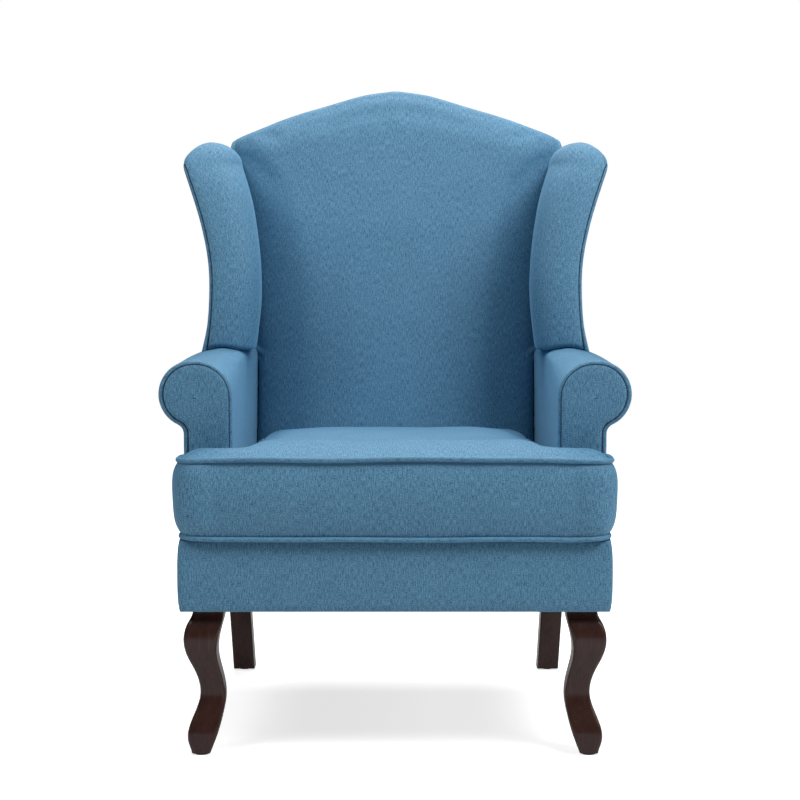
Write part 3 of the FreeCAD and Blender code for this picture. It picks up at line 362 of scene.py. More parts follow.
def settle(piece, height, width, seed):
    """Gives a cover the soft unevenness that hand-laid filling leaves."""
    mesh = piece.data
    moved = places_of(mesh)
    for v in mesh.vertices:
        dent = noise.noise(v.co / width + Vector((seed, 0, 0)))
        moved[v.index] += np.array(v.normal) * dent * height
    put_places(mesh, moved)


def smooth_piece(piece, levels=1):
    """Rounds a piece by subdivision, applied to its mesh."""
    bpy.ops.object.select_all(action="DESELECT")
    bpy.context.view_layer.objects.active = piece
    piece.select_set(True)
    rounding = piece.modifiers.new("rounding", "SUBSURF")
    rounding.levels = levels
    rounding.render_levels = levels
    bpy.ops.object.modifier_apply(modifier=rounding.name)
    bpy.ops.object.shade_smooth()
    piece.select_set(False)
    print(piece.name, "faces", len(piece.data.polygons))
    return piece


print("covers can settle and be rounded")

# %% [markdown]
# ## The inside back
# On the real chair this is one panel of cloth over foam, drawn over the crest and tucked down beside
# the wings and behind the cushion. Its line is the camel back: high in the middle, falling in a slow
# curve to small rounded shoulders. A section is drawn from the seat over the crest and repeated
# across the chair; below the arms the sections draw together to pass between them.

# %% Sizes of the inside back
# Lists of sizes, here and below, are in millimetres.
CREST_PLACES = [0, 66, 96, 125, 151, 177, 201, 224, 244, 265, 285, 301, 312, 318, 320]
CREST_DROPS = [0, 9.5, 18, 27, 35, 42.5, 50.5, 58.5, 66.5, 74.5, 82, 88.5, 94, 100.5, 110]
BACK_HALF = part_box("inside_back")[1].x
SHOULDER_OUT = 3.6 * MM  # the back is a little wider above the wings
EDGE_HEIGHTS = [346, 560, 652, 714, 777, 840, 904, 955, 985, 1010, 1112]
EDGE_PLACES = [256, 257, 262, 262, 264, 271, 283, 294, 302, 307, 307]
EDGE_WIDTH = 64 * MM
EDGE_REACH = 3 * MM
EDGE_DEPTH = 44 * MM
LOW_HALF = arm_in - 1 * MM
BACK_LOW_AHEAD = 88 * MM
BACK_FULL_AHEAD = 97 * MM
BACK_TOP_AHEAD = 85 * MM
BACK_CROWN = 12 * MM
BACK_CROWN_HALF = 0.78 * BACK_HALF
BACK_CROWN_ENDS = (60 * MM, 260 * MM)  # below the crest, where the fullness fades
BACK_HOLLOW_AHEAD = 52.5 * MM
BACK_PANEL_AHEAD = 3.4 * MM
CREST_RADIUS = 36 * MM
WIDENING = (-30 * MM, 20 * MM)  # about the arm's top, where the sections grow to full width
SHOULDERS = (985 * MM, 1005 * MM)  # heights between which the back grows wider still
back_low_z = deck_z + 1 * MM
back_full_z = arm_rear_z + 30 * MM
print("inside back from", round(back_low_z, 3), "to", round(crest_z, 3))

# %% Crest and face of the back


def crest_at(u):
    """Height of the crest line at a share of the way from the middle to the shoulder."""
    drop = flow(np.abs(u) * CREST_PLACES[-1], CREST_PLACES, CREST_DROPS)
    return crest_z - drop * MM


def back_face(x, z):
    """How far the face of the inside back lies ahead of the outside back."""
    heights = [back_low_z, back_full_z, crest_z]
    ahead = flow(z, heights, [BACK_LOW_AHEAD, BACK_FULL_AHEAD, BACK_TOP_AHEAD])
    crown = BACK_CROWN * np.clip(1 - (x / BACK_CROWN_HALF) ** 2, 0, 1)
    fade = ramp(crest_z - z, *BACK_CROWN_ENDS)
    edge = flow(z / MM, EDGE_HEIGHTS, EDGE_PLACES) * MM + EDGE_REACH
    side = np.minimum(ramp(np.abs(x), edge - EDGE_WIDTH, edge), 0.995)
    drop = np.minimum(EDGE_DEPTH, ahead - BACK_HOLLOW_AHEAD - 1 * MM)
    return ahead + crown * fade - drop * (1 - np.sqrt(1 - side ** 2))


print("crest at the shoulders", round(float(crest_at(1)), 4))

# %% [markdown]
# ## The sections of the back
# One section runs up the face, turns over the crest and comes down again on the hidden side. The
# sections could stand at even distances, but they are closer together towards the shoulders, where
# the crest bends most.

# %% Sections of the back
FACE_POINTS = 56
OVER_POINTS = 17
SECTIONS = 67
CLOSER = 0.86 * math.pi / 2  # how much closer the sections stand at the shoulders


def back_ring(u):
    """One section of the inside back: up the face, over the crest and down the hidden side."""
    top = float(crest_at(u))
    shoulder = top - CREST_RADIUS
    face_z = np.linspace(back_low_z, shoulder, FACE_POINTS)
    spread = soft_step(ramp(face_z - arm_rear_z, *WIDENING))
    wide = ramp(face_z, *SHOULDERS)
    x = u * (LOW_HALF + (BACK_HALF - LOW_HALF) * spread + SHOULDER_OUT * wide)
    top_x = u * (BACK_HALF + SHOULDER_OUT)
    face = np.stack((x, rear_y(face_z, back_face(x, face_z)), face_z), axis=1)
    ahead = float(back_face(x[-1], shoulder))
    middle = (ahead + BACK_PANEL_AHEAD) / 2
    turn = np.linspace(0, math.pi, OVER_POINTS + 1)[1:]
    over_z = shoulder + CREST_RADIUS * np.sin(turn) ** 0.9
    over_n = middle + (ahead - middle) * np.sign(np.cos(turn)) * np.abs(np.cos(turn)) ** 0.8
    over = np.stack((np.full_like(turn, top_x), rear_y(over_z, over_n), over_z), axis=1)
    under_n = np.linspace(BACK_PANEL_AHEAD, BACK_HOLLOW_AHEAD, OVER_POINTS)
    under_z = np.full_like(under_n, shoulder + 5 * MM)
    under_z[0] = shoulder - 1 * MM
    under = np.stack((np.full_like(under_n, top_x), rear_y(under_z, under_n), under_z), axis=1)
    down = face[::-1].copy()
    down[:, 1] = rear_y(down[:, 2], BACK_HOLLOW_AHEAD)
    return np.concatenate((face, over, under, down))


across = np.sin(np.linspace(-1, 1, SECTIONS) * CLOSER) / math.sin(CLOSER)
inside_back = ringed("inside_back_cover", [back_ring(u) for u in across], turn_map=True)
print("inside back points", len(inside_back.data.vertices))

# %% [markdown]
# ## The wings
# The padded wing takes the most skill on this chair. It curls outwards as it rises, its front edge is
# full and round, and its top closes in a soft dome. It could be sculpted, but then its welt and its
# outside panel would have to be fitted to it by eye. Here all three are read from the same sizes.

# %% Sizes of the wing
WING_HEIGHTS = [600, 652, 714, 777, 840, 904, 930, 955]
WING_FRONTS = [340, 340.5, 344, 352, 363.5, 380, 390, 404]
WING_OUTERS = [338, 330.5, 325.5, 327, 339, 359, 368.5, 378]
WING_INNERS = [251, 244, 238.5, 239.5, 246, 259, 267, 276]
WING_CREVICES = [274, 272, 272, 274, 280, 290, 295, 300]
WELT = 8 * MM
BOARD_DEPTH = 22.5 * MM  # outside of the wing to the inner face of its board
BOARD_FRONT = 13.5 * MM  # front edge of the wing to its board
WING_AHEAD = 74 * MM  # rear of the wing pad, ahead of the outside back
WELT_SHOWN = 4.5 * MM  # the pad swells over the rest of its welt
WELT_BACK = 11 * MM  # the welt's middle behind the front edge
FOREMOST = 0.25  # share of the wing's thickness from its outer edge to its foremost line
NOSE_IN = 0.66  # depth of the inner round of the front edge, as a share of the thickness
NOSE_OUT = 7.5 * MM  # and of its outer round
WING_FOOT_ROUND = 11 * MM
DOME_START = 955 * MM
DOME_RISE = 41 * MM
DOME_BACK = 32 * MM
DOME_LEAN = 0.5
DOME_OUT = 46 * MM
DOME_OVER_WELT = (DOME_START - 8 * MM, DOME_START + 12 * MM)
DOME_WELT_SHOWN = 0.8 * MM
DOME_SIDE = WELT - 1 * MM  # the dome lies on its welt
TAIL_ROUND = 18 * MM  # the dome's rear end follows the round of the back
TAIL_WIDTH = 11 * MM  # and closes the way to the back's side
SIDE_POINTS = 18
NOSE_POINTS = 28
ARM_CROWN_PLACES = [261, 272, 302, 337, 360, 379]
ARM_CROWN_RISES = [-1.5, -1, 3.5, -1.5, -0.5, 0]
FOOT_REACH = 60 * MM  # the wing's foot follows the arm's crown up to this height
wing_foot_z = arm_rear_z + 0.2 * MM
wing_posts_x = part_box("right_wing_board")[0].x
print("wing from", round(wing_foot_z, 3), "to", round(DOME_START + DOME_RISE, 3))

# %% [markdown]
# ## The lines of a wing section
# A level section runs along the hidden wing board, round the full front edge and back into the
# crevice beside the inside back. In the dome there is no board, so the outer side lies on the welt.

# %% Curves of the wing


def arm_crown(x):
    """Rise of the arm's top beside the wing, and of the wing's foot that is scribed to it."""
    return flow(x / MM, ARM_CROWN_PLACES, ARM_CROWN_RISES) * MM


def wing_size(z, values):
    """One of the wing's sizes at height z."""
    return float(flow(z / MM, WING_HEIGHTS, values)) * MM


def wing_tail(z, rise):
    """Depth of the dome's rear end."""
    return rear_y(z + rise, BACK_PANEL_AHEAD + TAIL_ROUND * (rise / DOME_RISE) ** 2)


print("wing half-way curls out to", round(wing_size(840 * MM, WING_OUTERS), 3))

# %% Lines of a wing section


def wing_nose(y, edge, inner, close):
    """The full front edge, from the outside round to the inside."""
    width = edge - inner
    foremost = edge - FOREMOST * width
    turn = np.linspace(0, math.pi, NOSE_POINTS)
    outwards = turn < math.pi / 2
    depth = np.where(outwards, NOSE_OUT + 0.1 * width * close, NOSE_IN * width)
    half = np.where(outwards, edge - foremost, foremost - inner)
    x = foremost + half * np.sign(np.cos(turn)) * np.abs(np.cos(turn)) ** 0.9
    return x, y + depth * (1 - np.sin(turn))


def wing_side(z, rise, y, edge, nose_y):
    """The outer side up to the front edge: along the board, and in the dome over the welt."""
    outer = wing_size(z, WING_OUTERS)
    share = np.linspace(0, 1, SIDE_POINTS + 1)
    if rise > 0:
        tail = wing_tail(z, rise)
        front_x = min(edge, outer - DOME_SIDE) if rise < WELT else edge
        rear_x = seat_half - DOME_SIDE
        x = np.minimum(rear_x + (front_x - rear_x) * share, edge)
        return x, tail + (nose_y + 3 * MM - tail) * share
    back = rear_y(z, WING_AHEAD)
    reach = np.minimum(share * 1.2, 1)
    x = wing_posts_x + (outer - BOARD_DEPTH - wing_posts_x) * reach
    depth = back + (y + BOARD_FRONT - back) * reach
    x[-3:-1] = (outer - WELT - 1 * MM, outer - WELT - 0.8 * MM)
    depth[-3:-1] = (y + BOARD_FRONT, y + WELT_BACK - 2.5 * MM)
    return x, depth


def wing_inside(z, rise, inner, crevice, nose_y, side_x):
    """The inner side, from the front edge back into the crevice."""
    share = np.linspace(0, 1, SIDE_POINTS + 1)
    x = inner + (crevice - inner) * share ** 1.5
    y = nose_y + (rear_y(z + rise, WING_AHEAD) - nose_y) * share
    if rise > 0:
        x[-3:] = np.linspace(x[-3], side_x - TAIL_WIDTH, 3)
        y[-3:] = np.linspace(y[-3], wing_tail(z, rise), 3)
    return x, y


print("points along a wing section", 2 * SIDE_POINTS + NOSE_POINTS)

# %% [markdown]
# ## Stacking the wing
# Level sections are stacked from the arm to the top, and a quarter turn rounds the foot and the dome.
# Near the foot they follow the crown of the arm, as a real wing is scribed to its arm.

# %% Sections of the wing
FOOT_RINGS = 6
WALL_RINGS = 36
DOME_RINGS = 11


def wing_ring(z, rise, inset, close):
    """A level section; inset draws it in all round, close shuts it towards the dome's ridge."""
    level = z + rise
    y = seat_front + wing_size(z, WING_FRONTS) + DOME_LEAN * rise + DOME_BACK * close + inset
    shown = float(np.interp(level, DOME_OVER_WELT, [WELT_SHOWN, DOME_WELT_SHOWN]))
    edge = wing_size(z, WING_OUTERS) - shown
    ridge = edge - DOME_OUT
    edge -= (edge - ridge) * close ** 0.7
    inner = wing_size(z, WING_INNERS)
    inner += 0.4 * inset + (ridge - 3 * MM - inner) * close
    crevice = wing_size(z, WING_CREVICES)
    crevice += 0.5 * inset + (ridge - 6 * MM - crevice) * close
    nose_x, nose_y = wing_nose(y, edge, inner, close)
    side_x, side_y = wing_side(z, rise, y, edge, nose_y[0])
    in_x, in_y = wing_inside(z, rise, inner, crevice, nose_y[-1], side_x[0])
    plan = np.column_stack((
        np.concatenate((side_x[:-1], nose_x, in_x[1:])),
        np.concatenate((side_y[:-1], nose_y, in_y[1:])),
    ))
    near_foot = max(0, 1 - (level - wing_foot_z) / FOOT_REACH) ** 2
    return np.column_stack((plan, level + near_foot * arm_crown(plan[:, 0])))


wing_rings = []
for turn in np.linspace(0, math.pi / 2, FOOT_RINGS):
    inset = WING_FOOT_ROUND * (1 - math.sin(turn))
    z = wing_foot_z + WING_FOOT_ROUND * (1 - math.cos(turn))
    wing_rings.append(wing_ring(z, 0, inset, 0))
for z in np.linspace(wing_foot_z + WING_FOOT_ROUND, DOME_START, WALL_RINGS)[1:]:
    wing_rings.append(wing_ring(z, 0, 0, 0))
for turn in np.linspace(0, math.pi / 2, DOME_RINGS)[1:]:
    wing_rings.append(wing_ring(DOME_START, DOME_RISE * math.sin(turn), 0, 1 - math.cos(turn)))
around = len(wing_rings[0])
beside_welt = range(FOOT_RINGS // 2, FOOT_RINGS + WALL_RINGS - 2)
# faces beside the wing's welt, which take the painted seam shade
wing_seam_shade = [i * around + SIDE_POINTS + j for i in beside_welt for j in range(-1, 4)]
right_wing = ringed("right_wing_cover", wing_rings, seam=wing_seam_shade)
print("wing points", len(right_wing.data.vertices))

# %% [markdown]
# ## The arms
# Each arm is a roll over a rail. At the front its outline is a round scroll; towards the wing the
# inner edge grows squarer and the arm rises a little. The outline is drawn as a chain of lines and
# arcs, always with the same number of points, so that neighbouring outlines join point to point.

# %% Outline of the arm
ROLL_FLAT = 5 * MM
CURL = 16 * MM
FLAP = 9 * MM  # the straight end under the curl
FRONT_CORNER = (arm_out - arm_in) / 2
ROLL = FRONT_CORNER - ROLL_FLAT
ARM_COUNTS = (16, 14, 8, 24, 10, 4)


def arc(x, z, radius, start, end, count):
    """Points on an arc, in degrees, without its last one."""
    turn = np.radians(np.linspace(start, end, count + 1)[:-1])
    return np.stack((x + radius * np.cos(turn), z + radius * np.sin(turn)), axis=1)


def run(a, b, count):
    """Points on a line, without its last one."""
    share = np.linspace(0, 1, count + 1)[:-1, None]
    return np.array(a) + (np.array(b) - np.array(a)) * share


def arm_outline(inset, corner, top, bottom):
    """The scroll outline seen from the front, from the inner bottom over the roll to the curl."""
    roll_x = arm_out - ROLL
    roll_z = top - ROLL
    curl_x = seat_half + CURL
    drop = math.sqrt((ROLL + CURL) ** 2 - (curl_x - roll_x) ** 2)
    turn = math.degrees(math.atan2(drop, curl_x - roll_x))
    inner = arm_in + inset
    corner_x = arm_in + corner
    corner_z = top - corner
    high = top - inset
    roll = ROLL - inset
    curl = CURL + inset
    curl_z = roll_z - drop
    return np.concatenate((
        run((inner, bottom), (inner, corner_z), ARM_COUNTS[0]),
        arc(corner_x, corner_z, corner - inset, 180, 90, ARM_COUNTS[1]),
        run((corner_x, high), (roll_x, high), ARM_COUNTS[2]),
        arc(roll_x, roll_z, roll, 90, -turn, ARM_COUNTS[3]),
        arc(curl_x, curl_z, curl, 180 - turn, 180, ARM_COUNTS[4]),
        run((seat_half - inset, curl_z), (seat_half - inset, curl_z - FLAP), ARM_COUNTS[5]),
    ))


print("arm outline points", sum(ARM_COUNTS))

# %% [markdown]
# ## The arm from front to back
# The sections change from the round scroll to the squarer rear along the arm. In front the cover lies
# on the scroll board; behind it, the hidden side lies on the rail, the liner and the stump, whose
# places the frame gives. A sweep would be shorter, but it couldn't change its outline on the way.

# %% Sections of the arm
REAR_CORNER = 19 * MM  # inner edge of the arm beside the wing
BOARD_IN = 6 * MM  # from the outline to the scroll board's own edge
ON_WOOD = 0.3 * MM
rail_low, rail_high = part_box("right_arm_rail")
rail_end = rail_high.y + 1 * MM
liner_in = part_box("right_arm_liner")[0].x
stump_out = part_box("right_arm_stump")[1].x
square_y = seat_front + wing_size(652 * MM, WING_FRONTS)


def arm_hollow(outline, reach):
    """The side of the arm pad that lies on the rail, the liner and the stump."""
    x = np.clip(outline[:, 0], liner_in - ON_WOOD, reach + ON_WOOD)
    z = np.minimum(outline[:, 1], rail_high.z + ON_WOOD)
    low = outline[:, 1] < rail_low.z
    x = np.where(low & (x > stump_out), stump_out - ON_WOOD, x)
    return np.stack((x, z), axis=1)


def arm_ring(y, inset, share, on_board):
    """A section of the arm at depth y; share goes from the scroll to the squarer rear."""
    ease = soft_step(share)
    corner = FRONT_CORNER + (REAR_CORNER - FRONT_CORNER) * ease
    top = arm_front_z + (arm_rear_z - arm_front_z) * ease
    bottom = deck_z + 0.5 * MM
    outline = arm_outline(inset, corner, top, bottom)
    if on_board:
        under = arm_outline(BOARD_IN, corner, top, bottom)
    else:
        under = arm_hollow(outline, rail_high.x if y < rail_end else stump_out)
    near_top = 1 - ramp(top - outline[:, 1], 0, 2 * REAR_CORNER)
    outline[:, 1] += ease * near_top * arm_crown(outline[:, 0])
    loop = np.concatenate((outline, under[::-1]))
    depth = np.minimum(y, rear_y(loop[:, 1], BACK_PANEL_AHEAD))
    return np.column_stack((loop[:, 0], depth, loop[:, 1]))


print("the arm is square from", round(square_y, 3))

# %% Arm pads
ARM_FRONT_ROUND = 6 * MM
SCROLL_BOARD = 18.5 * MM
FRONT_RINGS = 5
ARM_RINGS = 44
arm_rings = []
for turn in np.linspace(0, math.pi / 2, FRONT_RINGS):
    inset = 0.7 * ARM_FRONT_ROUND * (1 - math.sin(turn))
    arm_rings.append(arm_ring(board_y + ARM_FRONT_ROUND * (1 - math.cos(turn)), inset, 0, True))
arm_rings.append(arm_ring(board_y + SCROLL_BOARD, 0, 0.01, True))
arm_end_y = rear_y(arm_rear_z, BACK_PANEL_AHEAD)
for y in np.linspace(board_y + SCROLL_BOARD + 2 * MM, arm_end_y, ARM_RINGS):
    share = min((y - board_y) / (square_y - board_y), 1)
    arm_rings.append(arm_ring(y, 0, share, False))
right_arm = ringed("right_arm_cover", arm_rings, turn_map=True)
print("arm points", len(right_arm.data.vertices))

# %% [markdown]
# ## The loose cushion
# A T-shaped box cushion: a crowned top, a boxing band that bulges between two welts, and ears that
# reach in front of the arms. The plan is a grid of squares with the corners missing, rounded at the
# ears. Its rim gives the seam, so the boxing is the same rim repeated from the lower to the upper
# seam. Pressure then fills the cover while the seams are held.

# %% Sizes of the cushion
SEAM_IN = WELT + 0.3 * MM
ARM_CLEAR = 0.7 * MM
FACING_CLEAR = 2.2 * MM
top_welt_low, top_welt_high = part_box("cushion_top_welt")
low_welt_low, low_welt_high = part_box("cushion_bottom_welt")
seam_high_z = (top_welt_low.z + top_welt_high.z) / 2
seam_low_z = (low_welt_low.z + low_welt_high.z) / 2
ear_x = top_welt_high.x - SEAM_IN
cushion_front = top_welt_low.y + SEAM_IN
cushion_rear = top_welt_high.y - SEAM_IN
rear_slant = top_welt_high.y - low_welt_high.y
body_x = arm_in - ARM_CLEAR - SEAM_IN
notch_y = facing_low.y - FACING_CLEAR - SEAM_IN
print("cushion seam", round(2 * ear_x, 3), "wide and", round(cushion_rear - cushion_front, 3), "deep")

# %% Grid and corners of the cushion
STEP = 10 * MM


def spaced(a, b):
    """Grid lines from a to b, about a step apart."""
    return np.linspace(a, b, max(2, round((b - a) / STEP) + 1))


plan_x = np.concatenate((spaced(-ear_x, -body_x)[:-1], spaced(-body_x, body_x), spaced(body_x, ear_x)[1:]))
plan_y = np.concatenate((spaced(cushion_front, notch_y)[:-1], spaced(notch_y, cushion_rear)))


def round_corner(x, y, corner_x, corner_y, side_y, radius):
    """Moves plan points near an outer corner from a square onto a round."""
    side_x = np.sign(corner_x)
    a = 1 - (corner_x - x) * side_x / radius
    b = 1 - (corner_y - y) * side_y / radius
    near = (a > 0) & (b > 0)
    new_a = a * np.sqrt(np.clip(1 - b ** 2 / 2, 0, 1))
    new_b = b * np.sqrt(np.clip(1 - a ** 2 / 2, 0, 1))
    x = np.where(near, corner_x - (1 - new_a) * radius * side_x, x)
    y = np.where(near, corner_y - (1 - new_b) * radius * side_y, y)
    return x, y


print("cushion grid", len(plan_x), "by", len(plan_y))

# %% Plan of the cushion
EAR_ROUND = 26 * MM
REAR_ROUND = 14 * MM
CLOSE = 0.1 * MM


def cushion_plan():
    """Grid points of the T, the cells between them and the rim in order."""
    inside = {}
    points = []
    for j, y in enumerate(plan_y):
        for i, x in enumerate(plan_x):
            if abs(x) < body_x + CLOSE or y < notch_y + CLOSE:
                inside[i, j] = len(points)
                points.append((x, y))
    cells = []
    for i, j in inside:
        corners = [(i, j), (i + 1, j), (i + 1, j + 1), (i, j + 1)]
        if not all(c in inside for c in corners):
            continue
        middle_x = (plan_x[i] + plan_x[i + 1]) / 2
        middle_y = (plan_y[j] + plan_y[j + 1]) / 2
        if abs(middle_x) < body_x or middle_y < notch_y:
            cells.append([inside[c] for c in corners])
    sides = {(a, b) for cell in cells for a, b in zip(cell, cell[1:] + cell[:1])}
    rim_next = {a: b for a, b in sides if (b, a) not in sides}
    rim = [0]
    while rim_next[rim[-1]] != rim[0]:
        rim.append(rim_next[rim[-1]])
    x, y = np.array(points).T
    for side in (-1, 1):
        x, y = round_corner(x, y, side * ear_x, cushion_front, -1, EAR_ROUND)
        x, y = round_corner(x, y, side * ear_x, notch_y, 1, REAR_ROUND)
        x, y = round_corner(x, y, side * body_x, cushion_rear, 1, REAR_ROUND)
    return np.stack((x, y), axis=1), cells, rim


flat, cells, rim = cushion_plan()
rim_points = flat[rim]
print("cushion plan points", len(flat), "cells", len(cells), "rim", len(rim))

# %% [markdown]
# ## The seams of the cushion
# The rim of the plan is the sewing line of both welts. The top seam isn't level on the real cushion:
# it arches a little in front, and between the arms and at the back the cover is drawn down. A level
# seam would be simpler, but it would make the cushion look like a block.

# %% Heights of the seams
SEAM_ARCH = 3 * MM  # the front seam rises in the middle
ARCH_REACH = 90 * MM
SEAM_WAVE = 0.7 * MM
SIDE_DIP = 22 * MM  # between the arms the top seam is drawn down
SIDE_DIP_RUN = (8 * MM, 78 * MM)  # behind the notch
SIDE_DIP_WIDTH = 12 * MM
REAR_DIP = 18 * MM
REAR_DIP_REACH = 60 * MM
CORNER_DIP = 8 * MM  # and further down towards the rear corners
CORNER_DIP_REACH = 220 * MM
LOW_DROP = 2.5 * MM  # the lower seam hangs over the border
LOW_DROP_REACH = 14 * MM
LOW_DROP_SIDE = 60 * MM


def seam_wave(x, y):
    """The small waves that hand-guided sewing leaves along a seam."""
    return SEAM_WAVE * (np.sin(x / (37 * MM) + 1.3) + np.sin(y / (29 * MM) + x / (61 * MM)))


def high_seam(x, y):
    """Height of the top seam: arched in front, drawn down between the arms."""
    arch = SEAM_ARCH * np.clip(1 - (x / ear_x) ** 2, 0, 1) * (1 - ramp(y - cushion_front, 0, ARCH_REACH))
    tucked = soft_step(ramp(y - notch_y, *SIDE_DIP_RUN)) * ramp(np.abs(x) - body_x, -SIDE_DIP_WIDTH, 0)
    low_rear = ramp(y - cushion_rear, -REAR_DIP_REACH, 0)
    side_dip = SIDE_DIP + CORNER_DIP * ramp(y - cushion_rear, -CORNER_DIP_REACH, 0)
    return seam_high_z + arch - np.maximum(side_dip * tucked, REAR_DIP * low_rear) + seam_wave(x, y)


def low_seam(x, y):
    """Height of the lower seam: over the border in front, on the deck elsewhere."""
    ahead = 1 - ramp(y - cushion_front, 0, LOW_DROP_REACH)
    inner = ramp(ear_x - np.abs(x), 0, LOW_DROP_SIDE)
    return seam_low_z - LOW_DROP * ahead * inner + 0.5 * seam_wave(x + 0.3, y) * ahead


rim_high = high_seam(*rim_points.T)
rim_low = low_seam(*rim_points.T)
print("top seam from", round(rim_high.min(), 4), "to", round(rim_high.max(), 4))

# %% [markdown]
# ## The crown of the cushion
# A filled cushion swells quickly beside its seam and is fullest before the middle. Behind, where the
# back presses on it, it is low. The rise is therefore a product of simple curves: one for the
# distance from the seam, one for the depth and one across.

# %% Crown and rear of the cushion
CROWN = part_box("cushion_top_panel")[1].z - seam_high_z
CROWN_PLACES = [0, 25, 50, 120, 200, 320, 430, 530]  # from the front seam
CROWN_RISES = [0, 0.55, 0.82, 1.0, 1.1, 0.96, 0.56, 0.12]
CROWN_EDGE = 42 * MM  # from the seam to the full rise
CROWN_BEHIND = (10 * MM, 100 * MM)  # behind the notch the crown falls to the sides
FLAT_HALF = 120 * MM  # outside this


def crown(gap, x, y):
    """Rise of the top over its seam: a quick swell at the edge, full in the middle, low at the back."""
    edge = 1 - (1 - ramp(gap, 0, CROWN_EDGE)) ** 2.4
    along = flow((y - cushion_front) / MM, CROWN_PLACES, CROWN_RISES)
    side = ramp(np.abs(x), FLAT_HALF, body_x)
    behind = soft_step(ramp(y - notch_y, *CROWN_BEHIND))
    ear = 0.85 + 0.15 * np.clip(1 - (np.abs(x) / ear_x) ** 3, 0, 1)
    return CROWN * edge * np.maximum(along, 0.1) * (ear + behind * (1 - 0.92 * side ** 1.9 - ear))


def lean_rear(y, z):
    """The rear of the cushion follows the inside back, further back at the top."""
    share = ramp(y, notch_y, cushion_rear)
    return y - rear_slant * share * (seam_high_z - z) / (seam_high_z - seam_low_z)


gaps = np.linalg.norm(flat[:, None, :] - rim_points[None, :, :], axis=2)
rim_gap = gaps.min(axis=1)
nearest = gaps.argmin(axis=1)
rise = crown(rim_gap, flat[:, 0], flat[:, 1])
print("crown rises by", round(float(rise.max()) / MM, 1), "mm")

# %% [markdown]
# ## Top and boxing
# The top panel is the plan lifted onto its crown. The boxing repeats the rim from the upper to the
# lower seam and bulges in between, most at the ears and hardly at the back, where it is pressed.

# %% Top and boxing of the cushion
BOX_BULGE = 8 * MM
EAR_BULGE = 13 * MM
REAR_BULGE = 2.6 * MM
EAR_TUCK = 3.5 * MM  # the lower seam of the ears lies further in
SEAM_PULL = 28 * MM  # beside its seam the top follows the seam's height
BOX_LEVELS = 15
rim_along = np.roll(rim_points, -1, axis=0) - np.roll(rim_points, 1, axis=0)
rim_out = np.stack((rim_along[:, 1], -rim_along[:, 0]), axis=1)
rim_out /= np.linalg.norm(rim_out, axis=1, keepdims=True)
rim_ear = ramp(np.abs(rim_points[:, 0]), body_x, ear_x)
rim_length = np.cumsum(np.linalg.norm(np.roll(rim_points, 1, axis=0) - rim_points, axis=1))
rim_bulge = np.where(rim_out[:, 1] > 0.5, REAR_BULGE, np.where(rim_ear > 0.5, EAR_BULGE, BOX_BULGE))
dip = (rim_high[nearest] - seam_high_z) * (1 - ramp(rim_gap, 0, SEAM_PULL)) ** 2
points = list(np.column_stack((flat, seam_high_z + rise + dip)))
cloth_map = list(flat)
faces = [tuple(cell) for cell in cells]
lower_rim = list(rim)
for level in np.linspace(0, 1, BOX_LEVELS)[1:]:
    z = rim_high + (rim_low - rim_high) * level
    ring = rim_points + rim_out * rim_bulge[:, None] * (1 - abs(2 * level - 1) ** 4.5)
    ring[:, 0] -= np.sign(ring[:, 0]) * rim_ear * EAR_TUCK * level ** 2
    ring = np.column_stack((ring[:, 0], lean_rear(ring[:, 1], z), z))
    upper_rim = lower_rim
    lower_rim = list(range(len(points), len(points) + len(ring)))
    points.extend(ring)
    cloth_map.extend(np.column_stack((rim_length, z)))
    for k in range(len(ring)):
        m = (k + 1) % len(ring)
        faces.append((upper_rim[k], lower_rim[k], lower_rim[m], upper_rim[m]))
print("top and boxing faces", len(faces))

# %% Underside and seams of the cushion
UNDER_SINK = 3.4 * MM
rim_place = {r: k for k, r in enumerate(rim)}
under_number = {}
for k, (x, y) in enumerate(flat):
    if k in rim_place:
        under_number[k] = lower_rim[rim_place[k]]
        continue
    under_number[k] = len(points)
    sink = min(UNDER_SINK, rim_gap[k] * 0.5)
    tuck = EAR_TUCK * ramp(abs(x), body_x, ear_x)
    low = rim_low[nearest[k]] if rim_gap[k] < STEP else seam_low_z
    points.append((x - math.copysign(tuck, x), lean_rear(y, seam_low_z), low - sink))
    cloth_map.append((x, y))
faces.extend(tuple(under_number[c] for c in reversed(cell)) for cell in cells)
cushion = new_piece("seat_cushion_cover", points, faces, cloth_map)
crease = cushion.data.attributes.new("crease_edge", "FLOAT", "EDGE")
for seam_rim in (set(rim), set(lower_rim)):
    for edge in cushion.data.edges:
        if seam_rim.issuperset(edge.vertices):
            crease.data[edge.index].value = 1  # keeps the seam on its welt
print("cushion points", len(cushion.data.vertices))

# %% [markdown]
# ## Filling the cushion
# Now the pressure. The cushion's seams and its underside are held, and the rest may swell by a few
# millimetres. Afterwards the sides are pressed flat where the arms and the back stand against them.

# %% Fill the cushion
CUSHION_PRESSURE = 4
CUSHION_SWELL = 3 * MM
BETWEEN_ARMS = 12 * MM  # behind the notch the arms press on the sides
cushion_places = places_of(cushion.data)
seam_tops = np.column_stack((rim_points, rim_high))
seam_gap = np.linalg.norm(cushion_places[:, None, :] - seam_tops[None, :, :], axis=2).min(axis=1)
loose = (seam_gap > 0.5 * MM) & (cushion_places[:, 2] > seam_low_z + 3 * MM)
stuff(cushion, loose, CUSHION_PRESSURE, CUSHION_SWELL)
settle(cushion, height=1.6 * MM, width=90 * MM, seed=3)
places = places_of(cushion.data)
between = (places[:, 1] > notch_y + BETWEEN_ARMS) & (places[:, 2] < seam_high_z + 6 * MM)
limit = np.where(between, arm_in - ARM_CLEAR, 1)
places[:, 0] = np.clip(places[:, 0], -limit, limit)
rear_limit = lean_rear(np.full(len(places), cushion_rear), places[:, 2]) + REAR_BULGE
places[:, 1] = np.minimum(places[:, 1], rear_limit)
put_places(cushion.data, places)
